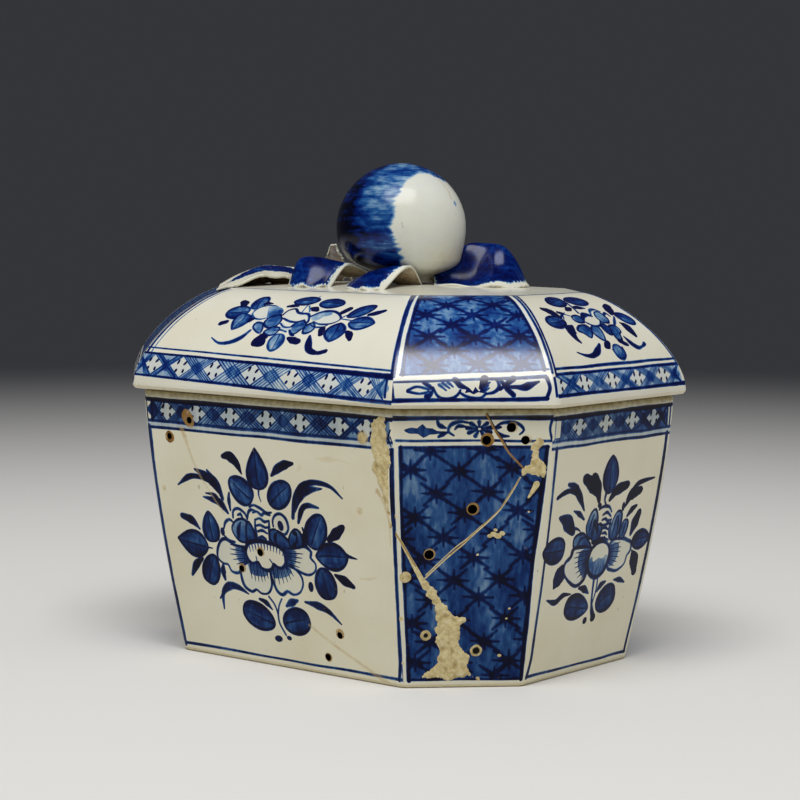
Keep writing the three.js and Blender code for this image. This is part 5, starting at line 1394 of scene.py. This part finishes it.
def cover_object():
    build = Build()
    for panel, place in COVER_PLACES.items():
        add_panel(build, COVER[panel], panel, cover_rows(panel), COVER_ART[panel],
                  np.array(place) * COVER_SCALE, COVER_SCALE)
    crown = [(PLATEAU * (1 - share), PLATEAU_HEIGHT + CROWN * math.sin(share * math.pi / 2))
             for share in (0, 0.05, 0.12, 0.22, 0.35, 0.5, 0.7, 0.96)]
    add_rings(build, crown, (0, 0, 0, 1), (CROWN_LEFT, UNDER_LOW, 0.4, 0.25))
    # how far in and up from the rim's lower edge its rounding goes
    edge = [(EDGE_ROUND, 0), (0.45, 0.12), (0.27, 0.27), (0.05, 0.55), (-RIM_SWELL, EDGE_ROUND)]
    rim = [(inset(COVER_EDGE, by), SEAT + z) for by, z in edge]
    mouth = inset(MOUTH, WALL + FLANGE_GAP + FLANGE_WIDTH)
    under = [(mouth, SEAT), (inset(COVER_EDGE, 1.5), SEAT)]
    # the underside and the rim's lower edge are brown as unglazed clay, and partly painted shade over the tub
    add_rings(build, under + rim, (0, 0.12, 0.3, 1), (UNDER_LEFT, UNDER_LOW, 0.5, 0.06))
    inner = [(inset(dome_octagon(share), COVER_WALL * (1 - share)), dome_height(share, DOME - COVER_WALL))
             for share in np.linspace(0, 1, 14)]
    inner = [(o, z) for o, z in inner if o[0] < mouth[0] - 0.5 and z > SEAT + 3]
    ceiling = [(PLATEAU * share, PLATEAU_HEIGHT - COVER_WALL + z) for share, z in ((0.5, 0.6), (0.04, 1))]
    hollow = [(mouth, SEAT), (mouth, SEAT + 1), *inner, *ceiling]
    add_rings(build, hollow[::-1], INSIDE_PAINT, (UNDER_LEFT, HOLLOW_LOW, 0.5, 0.2))
    return build.object("cover_painted", cover_glaze)

cover = cover_object()
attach(cover, "cover_body")
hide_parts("cover")

# Fruit: a ball on a short leaning neck, with brushed cobalt on one half. Sides are as the camera sees them.

LOOK = math.radians(38.9)
LOOK_RIGHT = np.array([math.cos(LOOK), math.sin(LOOK), 0])
LOOK_NEAR = np.array([math.sin(LOOK), -math.cos(LOOK), 0])
FRUIT_SIDES, FRUIT_GAP, SHOULDER, NECK_RADIUS, NECK_LEAN = 264, 0.3, math.radians(-29), 4.7, 4.4


def bezier(points, n):
    t = np.linspace(0, 1, n)[:, None]
    p = [np.asarray(q, float) for q in points]
    while len(p) > 1:
        p = [a + (b - a) * t for a, b in zip(p, p[1:])]
    return p[0]


def fruit_profile():
    """Half an outline of the ball, which stays round until close above its short neck"""
    base = FRUIT_GAP - FRUIT_CENTRE
    angles = np.linspace(SHOULDER, math.pi / 2, 96)
    ball = FRUIT_RADIUS * np.stack([np.cos(angles), np.sin(angles)], -1)
    ball[-1][0] = 0.02
    under = bezier([(NECK_RADIUS, base), (NECK_RADIUS, base + 2.3), (11.9, base + 2.4), ball[0]], 36)
    return np.concatenate([under, ball[1:]])


# Degrees round from the camera's side and up from the middle, each with a value. The blue ends at BLUE_SIDE
# round the fruit, and above BLUE_TOP over it.
BLUE_SIDE = [(-60, -3), (-36, -3), (-25, -2), (-17, -1), (-4, -8), (4, -10), (8.5, -7), (16, -5), (23, -7),
             (30, -4), (40, 2)]
BLUE_TOP = [(-10, 36), (0, 38), (10, 48), (24, 55), (42, 58), (55, 53), (68, 46), (90, 44), (130, 52),
            (180, 60)]
# how deep the blue is round and up the fruit; deeper low down and at the far left, partly as painted shade
DEPTH_AND_SHADE_ROUND = [(-150, 0.8), (-110, 0.92), (-75, 1), (-54, 0.94), (-42, 0.66), (-25, 0.56), (0, 0.52),
               (40, 0.58), (90, 0.7)]
DEPTH_AND_SHADE_UP = [(-50, 0.36), (-25, 0.22), (-10, 0.06), (10, 0), (40, -0.08), (65, -0.1)]


def fruit_paint(points):
    """Blue on the left half, in level brush marks with a ragged edge, and a spot, a stain and a crack.
    Low down the blue deepens and the stain on the right browns, partly as painted shade.
    """
    def read(table, at):
        return np.interp(at, *zip(*table))

    d = unit(points)
    s = np.degrees(np.arctan2(d @ LOOK_RIGHT, d @ LOOK_NEAR))
    h = np.degrees(np.arcsin(np.clip(d[:, 2], -1, 1)))
    rag = 3 * wobbles(s * 0.05, h * 0.7) + 4 * wobbles(s * 0.1, h * 0.25)
    beside = np.where(h < 40, read(BLUE_SIDE, h) + rag - s, -99)
    above = np.where(s > -12, h - read(BLUE_TOP, s) + 0.5 * rag, h - 36)
    inner, far = np.maximum(beside, above), s + 176 + 8 * wobbles(s * 0.05, h * 0.5)
    depth = read(DEPTH_AND_SHADE_ROUND, s) + read(DEPTH_AND_SHADE_UP, h)
    streak = 0.22 * wobbles(s * 0.04, h * 0.22) + 0.16 * wobbles(s * 0.07, h * 0.8)
    blue = np.clip(depth + streak, 0.25, 1) * np.clip(0.3 + inner / 5, 0, 1)
    ink = np.where((inner > 0) & (far > 0), blue, 0.03)
    ink = np.where((s - 63) ** 2 + (h - 23) ** 2 < 6, 0.4, ink)
    # low on the right, a brown wash that is partly stain and partly painted shade
    stain = np.where(ink < 0.1, 0.2 * np.clip((-4 - h) / 22, 0, 1) * np.clip((s - 12) / 30, 0, 1), 0)
    crack = (h > 27) & (h < 54) & (np.abs(s - 60 - 2 * wobbles(h * 0.15, 3 + 0 * h)) < 0.7)
    return np.stack([ink, np.where(crack, 0.5, stain), 0 * s, 1 + 0 * s], -1)


def fruit_object():
    profile = fruit_profile()
    angle = np.linspace(0, 2 * math.pi, FRUIT_SIDES, endpoint=False)
    around = np.stack([np.cos(angle), np.sin(angle)], -1)
    height = np.repeat(profile[:, None, 1:], FRUIT_SIDES, 1)
    co = np.concatenate([profile[:, None, :1] * around, height], -1)
    dent = wobbles(co[..., 0] * 0.16, co[..., 1] * 0.16 + co[..., 2] * 0.12)
    co[..., :2] *= 1 - 0.006 * np.abs(dent)[..., None]
    painted = fruit_paint(co.reshape(-1, 3))
    below = np.clip(-co[..., 2] / (FRUIT_CENTRE - FRUIT_GAP), 0, 1)
    co += (NECK_LEAN * below ** 3)[..., None] * LOOK_RIGHT
    co[..., 2] += PLATEAU_HEIGHT + CROWN + FRUIT_CENTRE
    normals = unit(np.cross(np.roll(co, -1, 1) - np.roll(co, 1, 1), np.gradient(co, axis=0)))
    normals[-1] = [0, 0, 1]
    faces = grid_faces(len(profile), FRUIT_SIDES, closed=True)
    place = [(j / FRUIT_SIDES * 0.98 + 0.01, i / len(profile) * 0.96 + 0.02)
             for i, j in grid_corners(faces, FRUIT_SIDES)]
    first = np.repeat([f[0] for f in faces], 4)
    neck = co.reshape(-1, 3)[first, 2] < PLATEAU_HEIGHT + 5
    build = Build()
    build.add(co, normals, faces, painted[np.ravel(faces)] + 0.12 * neck[:, None] * [0, 1, 0, 0], place)
    return build.object("fruit_painted", fruit_glaze)

fruit_glaze = glaze_material("fruit_glaze", FRUIT_INK, 0.3, (0.6, 0.6, 1.3), rough_at=0.14)
fruit = fruit_object()
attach(fruit, "cover_body")
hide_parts("fruit_knob")

# Leaves: thin sheets with toothed edges over the curves here, each curve from the leaf's start to its end.
# Places are in fruit radii from the middle of the flat top: left, near and up, as the camera sees them.
# The four widths after the curves are of the leaf's white margins in mm: near, far, start and end.

LEAVES = {
    "leaf_left": ([
        [(1.6, -0.1, 0.1), (1.85, 0, 0.18), (2.1, 0.12, 0.19), (2.5, 0.3, 0.08), (2.82, 0.44, -0.04)],
        [(1.6, -0.35, 0.17), (1.85, -0.25, 0.24), (2.15, -0.15, 0.25), (2.5, 0.05, 0.14), (2.8, 0.28, 0)],
        [(1.6, -0.65, 0.28), (1.85, -0.6, 0.3), (2.15, -0.5, 0.31), (2.5, -0.25, 0.2), (2.78, 0.1, 0.05)],
        [(1.6, -0.85, 0.04), (1.85, -0.85, 0.04), (2.15, -0.75, 0.04), (2.5, -0.5, 0.04),
         (2.77, -0.05, 0.01)]], (3.4, 7.4, 0.5, 0.8)),
    "leaf_left_front": ([
        [(1.08, 0.75, 0.05), (1.25, 0.8, 0.05), (1.45, 0.74, 0.05), (1.62, 0.6, 0.04), (1.72, 0.42, 0.03)],
        [(0.79, 0.4, 0.38), (1, 0.4, 0.42), (1.3, 0.35, 0.48), (1.56, 0.3, 0.44), (1.7, 0.3, 0.14)],
        [(0.4, 0.15, 0.2), (0.8, -0.05, 0.22), (1.2, -0.12, 0.22), (1.55, -0.02, 0.14), (1.72, 0.16, 0.04)]],
        (0.4, 0.8, 1.0, 0.6)),
    "leaf_front": ([
        [(0.28, 1.6, 0.03), (0.45, 1.6, 0.04), (0.62, 1.5, 0.04), (0.82, 1.2, 0.03)],
        [(-0.12, 1, 0.38), (0.18, 1.02, 0.36), (0.5, 0.98, 0.27), (0.8, 0.85, 0.09)],
        [(-0.33, 0.5, 0.06), (0.05, 0.5, 0.12), (0.42, 0.5, 0.12), (0.76, 0.62, 0.04)]],
        (0.9, 0.7, 1.5, 0.3)),
    "leaf_right": ([
        [(-0.5, 0.66, 0.08), (-0.85, 0.8, 0.08), (-1.15, 0.84, 0.08), (-1.45, 0.8, 0.07), (-1.74, 0.64, 0.06),
         (-1.97, 0.36, 0.05)],
        [(-0.52, 0.4, 0.12), (-0.85, 0.32, 0.12), (-1.15, 0.36, 0.16), (-1.44, 0.44, 0.32),
         (-1.7, 0.38, 0.32), (-1.92, 0.24, 0.12)],
        [(-0.5, 0.2, 0.2), (-0.78, 0.1, 0.44), (-1, 0.06, 0.68), (-1.3, 0.02, 0.7), (-1.58, 0.1, 0.66),
         (-1.79, 0.14, 0.42), (-1.94, 0.12, 0.1)],
        [(-0.5, 0, 0.08), (-0.85, -0.2, 0.1), (-1.2, -0.3, 0.2), (-1.45, -0.3, 0.2), (-1.7, -0.2, 0.15),
         (-1.93, 0, 0.03)]], (1.6, 0.6, 0.2, 0.3)),
    "leaf_back": ([
        [(0.75, -0.75, 0.1), (0.85, -0.8, 0.3), (0.95, -0.8, 0.5), (1.02, -0.78, 0.64)],
        [(0.85, -0.95, 0.15), (0.98, -1, 0.33), (1.08, -1, 0.5), (1.1, -0.9, 0.64)],
        [(0.95, -1.15, 0.05), (1.1, -1.15, 0.15), (1.2, -1.1, 0.3), (1.17, -1.02, 0.5)]],
        (0.9, 0.6, 0.3, 0.8)),
}

LEAF_LONG, LEAF_WIDE, LEAF_THICKNESS = 72, 40, 1.2


def curve_at(points, t):
    """Places along a smooth curve through points, t from 0 to 1"""
    p = run_on(np.asarray(points, float))
    k = np.minimum((t * (len(points) - 1)).astype(int), len(points) - 2)
    s = (t * (len(points) - 1) - k)[:, None]
    return between(p[k], p[k + 1], p[k + 2], p[k + 3], s)


def leaf_sheet(curves, seed):
    """Rows of places over the curves, waved along the edges and with small teeth"""
    t, w = np.linspace(0, 1, LEAF_LONG), np.linspace(-1, 1, LEAF_WIDE)
    curves = [FRUIT_RADIUS * (-c[:, :1] * LOOK_RIGHT + c[:, 1:2] * LOOK_NEAR + c[:, 2:] * [0, 0, 1]) +
              [0, 0, PLATEAU_HEIGHT] for c in (np.array(curve) for curve in curves)]
    rows = zip(*(curve_at(c, t) for c in curves))
    sheet = np.array([curve_at(row, np.linspace(0, 1, LEAF_WIDE)) for row in rows])
    for i, row in enumerate(sheet):
        row[:, 2] += 0.35 * w ** 2 * np.sin(t[i] * 5 * math.pi + w)
        tooth = 0.28 * (wobble(i * 0.55, w[0] * 9 + seed) + 0.5 * wobble(i * 1.3, 4))
        for side, j in ((-1, 0), (1, LEAF_WIDE - 1)):
            pull = np.clip(np.abs(w) * 6 - 5, 0, 1)[:, None] * (w[:, None] * side > 0)
            row += unit(row[j] - row[j - side]) * pull * (tooth + 0.25 * wobble(i * 0.9, side * 3 + seed))
    return sheet


def leaf_ink(sheet, margins, seed):
    """Cobalt up to the white margins, and the ways from the sheet's near side and from its start, in mm"""
    along, across = (np.linalg.norm(np.diff(sheet, axis=k), axis=-1) for k in (0, 1))
    from_near = np.concatenate([np.zeros((LEAF_LONG, 1)), np.cumsum(across, 1)], 1)
    from_start = np.concatenate([np.zeros((1, LEAF_WIDE)), np.cumsum(along, 0)], 0)
    to = [from_near, from_near[:, -1:] - from_near, from_start, from_start[-1:] - from_start]
    x, y = from_start, from_near
    rag = 0.55 * np.abs(wobbles(x * 1.9, y * 1.9 + seed)) * 2 + 0.4 * wobbles(x, y, 0.5)
    blue = np.min([d - m for d, m in zip(to, margins)], 0) + 0.3 - rag
    tone = 0.84 + 0.2 * wobbles(x * 0.35, y * 1.1) + 0.12 * wobbles(x, y, 1.5)
    return np.where(blue > 0, np.clip(tone, 0.5, 1) * np.clip(blue / 0.35, 0, 1), 0.03).ravel()


def leaf_object(name, curves, margins):
    """A leaf's top, its cream underside painted in shade towards the flat top, and the thin rounded edge
    between them
    """
    sheet = leaf_sheet(curves, len(name))
    ink = leaf_ink(sheet, margins, len(name))
    normals = unit(np.cross(*np.gradient(sheet, axis=(1, 0))))
    # -1 for the leaf whose curves run to the right
    way = 1 if normals[LEAF_LONG // 2, LEAF_WIDE // 2, 2] > 0 else -1
    normals = way * normals
    t, w = np.linspace(0, 1, LEAF_LONG)[:, None, None], np.linspace(-1, 1, LEAF_WIDE)[:, None]
    thin = LEAF_THICKNESS * (1 - 0.45 * np.abs(w) ** 6) * (1 - 0.45 * np.abs(2 * t - 1) ** 8)
    sheet, normals, low = (k.reshape(-1, 3) for k in (sheet, normals, sheet - normals * thin))
    u, v = np.meshgrid(np.linspace(0.02, 0.48, LEAF_WIDE), np.linspace(0.02, 0.98, LEAF_LONG))
    place = np.stack([u.ravel(), v.ravel()], -1)
    build = Build()
    faces = [f[::way] for f in grid_faces(LEAF_LONG, LEAF_WIDE)]
    at = np.ravel(faces)
    # the big leaf's margins are buff, and the back leaf is washed underneath too
    buff = 0.14 if name == "leaf_left" else 0.03
    build.add(sheet, normals, faces, [(k, buff * (k < 0.1), 0, 1) for k in ink[at]], place[at])
    faces = [f[::-1] for f in faces]
    at = np.ravel(faces)
    # the underside is painted in shade lower down, towards the flat top: darker and browner
    deep = np.clip((low[at, 2] - PLATEAU_HEIGHT) / 7, 0, 1)
    washed = 0.4 if name == "leaf_back" else 0.03
    cream = np.stack([washed + 0 * deep, 0.6 - 0.25 * deep, 0 * deep, 0.35 + 0.65 * deep], -1)
    build.add(low, -normals, faces, cream, place[at] + [0.5, 0])
    n = LEAF_LONG * LEAF_WIDE
    loop = [*range(LEAF_WIDE), *range(2 * LEAF_WIDE - 1, n, LEAF_WIDE), *range(n - 2, n - LEAF_WIDE - 1, -1),
            *range(n - 2 * LEAF_WIDE, 0, -LEAF_WIDE)]
    top, low, lifted = sheet[loop], low[loop], normals[loop]
    out = way * unit(np.cross(np.roll(top, -1, 0) - np.roll(top, 1, 0), lifted))
    co = np.concatenate([top, (top + low) / 2 + out * 0.22, low])
    faces = [f[::-way] for f in grid_faces(3, len(loop), closed=True)]
    build.add(co, np.concatenate([out + lifted, out, out - lifted]), faces,
              [(0.03, 0.1, 0, 1)] * (4 * len(faces)), [(0.99, 0.01)] * (4 * len(faces)))
    return build.object(name + "_painted", leaf_glaze)


for name, (curves, margins) in LEAVES.items():
    piece = leaf_object(name, curves, margins)
    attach(piece, "cover_body")
    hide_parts(name)

# Old repairs: filler smeared over the wall, and plugs set in drilled holes

PATCHES = {
    "fill_front_ridge": (FRONT, [
        (33.3, 63.6), (33, 60), (32.6, 57.2), (33.2, 54.6), (32.8, 51.6), (33.8, 49), (34.6, 46.6),
        (35.4, 44), (36.2, 41.4), (36.4, 39.2), (36.9, 38.8), (37.1, 41.2), (36.9, 44), (37, 49),
        (37.6, 52.4), (38.3, 55), (37.6, 58), (37.2, 61), (37.1, 64)]),
    "fill_chamfer_top": (FRONT_RIGHT, [
        (11.2, 50), (12.4, 51.2), (14.1, 50.9), (16.3, 50.2), (16.9, 52), (16.6, 53.6), (15.6, 55.8),
        (16.2, 58.6), (14.8, 59.2), (13.2, 58), (13.9, 55.6), (13.2, 53.4), (11.5, 52.3), (11.2, 51.2)]),
    "fill_chamfer_foot": (FRONT_RIGHT, [
        (-10.4, 26.4), (-9.6, 22.8), (-8, 20.6), (-7.2, 17.6), (-6.9, 12.5), (-6.3, 9.4), (-6.6, 6.2),
        (-7.6, 4.4), (-10.2, 2.4), (-6, 2.6), (-2, 1.9), (1.4, 2.6), (4.4, 1.7), (1.6, 3.4), (1.1, 5.6),
        (0.6, 8.2), (-0.9, 10.4), (-0.9, 13), (-1.2, 15), (-0.1, 16), (-0.5, 17.4), (-2.1, 17.6),
        (-4.4, 19.2), (-6.4, 22), (-8.8, 25.6)]),
}


def patch_object(name, panel, outline):
    """Filler with a ragged edge and a rough, slightly raised surface"""
    proud, sunk, spacing = 0.28, 0.04, 0.45
    edge = spline(outline, 0.4, closed=True)
    around = unit(np.gradient(edge, axis=0))
    rag = 0.8 * wobbles(*edge.T, 0.55) + 0.4 * wobbles(*edge.T, 1.7) + 0.25 * wobbles(*edge.T, 5)
    edge = edge + np.stack([-around[:, 1], around[:, 0]], -1) * rag[:, None]
    spans = [np.arange(k.min(), k.max(), spacing) for k in edge.T]
    grid = np.stack(np.meshgrid(*spans), -1).reshape(-1, 2)
    grid = grid[inside(edge, grid)]
    grid = grid[np.linalg.norm(grid[:, None] - edge[None], axis=-1).min(1) > 0.25]
    points = [Vector(p) for p in (*edge, *grid)]
    out, _, tris, *_ = delaunay_2d_cdt(points, [], [list(range(len(edge)))], 1, 1e-5, True)
    uv, tris = np.array([[p.x, p.y] for p in out]), np.array(tris)
    u, v = uv.T
    tris = tris[inside(edge, uv[tris].mean(1))]
    a, b, c = np.moveaxis(uv[tris], 1, 0)
    area = np.cross(b - a, c - a)
    faces = np.where(area[:, None] > 0, tris, tris[:, ::-1])[np.abs(area) > TINY]
    depth = np.linalg.norm(uv[:, None] - edge[None], axis=-1).min(1)
    rise = proud * np.clip(depth / 0.8, 0, 1) ** 0.5
    rise += 0.2 * (wobbles(u * 0.9, v * 0.6) + 0.6 * wobbles(u * 2.6, v * 2)) * (depth > 0.01)
    co = TUB.points(panel, u, v) + TUB.normals(panel, u, v) * (np.maximum(rise, 0) - sunk)[:, None]
    smooth = np.zeros_like(co)
    for f in faces:
        smooth[f] += np.cross(co[f[1]] - co[f[0]], co[f[2]] - co[f[0]])
    corner = uv.min(0)
    size = (uv.max(0) - corner).max() * 1.02
    blots = 0.9 * np.maximum(0, wobbles(u * 0.7, v * 0.5) - 0.15) + 0.5 * np.maximum(
        0, wobbles(u * 2.2, v * 1.6) - 0.2)
    at = faces.ravel()
    build = Build()
    build.add(co, unit(smooth), faces, [(0, blots[k], 1, 1) for k in at], (uv[at] - corner) / size)
    return build.object(name + "_filler", filler_plaster)


def plug_object(name, panel, u, v, radius, hollow):
    """A round plug of filler, with a pit of the radius hollow in it painted dark as shade"""
    rings, sides = 7, 22
    share = np.repeat(np.arange(rings) / (rings - 1), sides)
    a = np.tile(2 * math.pi * np.arange(sides) / sides, rings)
    r = radius * share * (1 + 0.08 * wobbles(np.cos(a) * 1.4 + u, np.sin(a) * 1.4 + v))
    at_u, at_v = u + r * np.cos(a), v + r * np.sin(a)
    co, n = TUB.points(panel, at_u, at_v), TUB.normals(panel, at_u, at_v)
    rise = 0.2 * (1 - share ** 4) - 0.04 + 0.05 * wobbles(at_u, at_v, 2)
    rise = np.where(share * radius < hollow, 0.03, rise)
    middle = TUB.points(panel, np.array([u]), np.array([v]))
    normals = n + 0.35 * share[:, None] ** 3 * (co - middle) / radius
    stain = 0.15 + 0.5 * np.maximum(0, wobbles(at_u, at_v))
    # alpha 0 paints the pit in shade
    paint = np.stack([0 * a, stain, 1 + 0 * a, 1.0 * (share * radius >= hollow * 0.9)], -1)
    out = 0.45 * np.repeat(np.arange(rings) / rings, sides)
    place = np.stack([0.5 + out * np.cos(a), 0.5 + out * np.sin(a)], -1)
    faces = [f[::-1] for f in grid_faces(rings, sides, closed=True)]
    at = np.ravel(faces)
    build = Build()
    build.add(co + n * rise[:, None], normals, faces, paint[at], place[at])
    return build.object(name + "_filler", filler_plaster)


# panel, place on it, radius and the radius of the pit painted in shade
PLUGS = {
    "plug_front_top": (FRONT, 30.2, 58.9, 1.35, 0),
    "plug_chamfer_left": (FRONT_RIGHT, -14.5, 27, 1.45, 0),
    "plug_chamfer_low": (FRONT_RIGHT, -9.2, 12.9, 1.35, 0.72),
    "plug_chamfer_right": (FRONT_RIGHT, 2.7, 9.1, 1.5, 0.85),
}
repairs = {name: patch_object(name, *patch) for name, patch in PATCHES.items()}
repairs.update((name, plug_object(name, *plug)) for name, plug in PLUGS.items())
for name, piece in repairs.items():
    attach(piece, "tub_body")
    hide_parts(name)

# The flange keeps its CAD shape

flange_glaze = glaze_material("flange_glaze", COVER_INK, 0.3)
flange_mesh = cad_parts["cover_flange"].data
flange_mesh.materials.clear()
flange_mesh.materials.append(flange_glaze)

# Floor, backdrop and light. The floor fades into the backdrop with the way from the object, in metres.

BACKDROP, FILL, FLOOR_PAINT = (0.035, 0.036, 0.041, 1), (0.3, 0.305, 0.315, 1), srgb(222, 220, 216)
FLOOR_REACH, FADE_START, FADE_END = 6, 0.14, 1.0
LIGHT_AIM = Vector((0, 0, 0.06))

floor_mesh = bpy.data.meshes.new("floor")
corners = [(x * FLOOR_REACH, y * FLOOR_REACH, 0) for x, y in ((-1, -1), (1, -1), (1, 1), (-1, 1))]
floor_mesh.from_pydata(corners, [], [(0, 1, 2, 3)])
floor = placed("floor", floor_mesh)
pale = bpy.data.materials.new("pale_floor")
nodes = Nodes(pale)
diffuse = nodes.add("BsdfDiffuse", Color=FLOOR_PAINT).outputs[0]
emission = nodes.add("Emission", Color=BACKDROP).outputs[0]
blend, output = nodes.add("MixShader"), nodes.add("OutputMaterial")
where = nodes.add("TexCoord").outputs["Object"]
away = nodes.add("VectorMath")
away.operation = "LENGTH"
nodes.feed(away.inputs[0], where)
fade = nodes.ramp(nodes.times(away.outputs["Value"], 1 / (2 * FADE_END)),
                  [(FADE_START / (2 * FADE_END), BLACK), (0.5, WHITE)], "EASE")
for socket, value in zip(blend.inputs, (nodes.times(fade, nodes.seen()), diffuse, emission)):
    nodes.feed(socket, value)
nodes.feed(output.inputs[0], blend.outputs[0])
floor_mesh.materials.append(pale)

world = bpy.data.worlds.new("studio")
bpy.context.scene.world = world
nodes = Nodes(world)
seen = nodes.seen()
background, output = nodes.add("Background"), nodes.add("OutputWorld")
nodes.feed(background.inputs["Color"], nodes.mix(seen, FILL, BACKDROP))
nodes.feed(output.inputs[0], background.outputs[0])


def softbox(name, azimuth, elevation, distance, size, power):
    """A soft light at these angles and this distance, width and height in metres, and power in watts"""
    light = bpy.data.lights.new(name, "AREA")
    light.shape, light.energy = "RECTANGLE", power
    light.size, light.size_y = size
    away = towards(azimuth, elevation)
    holder = placed(name, light)
    holder.location = LIGHT_AIM + away * distance
    holder.rotation_mode = "QUATERNION"
    holder.rotation_quaternion = away.to_track_quat("Z", "Y")


softbox("key_light", 33, 63, 1.2, (0.95, 0.62), 12.4)

bpy.context.scene.view_settings.view_transform = "Standard"
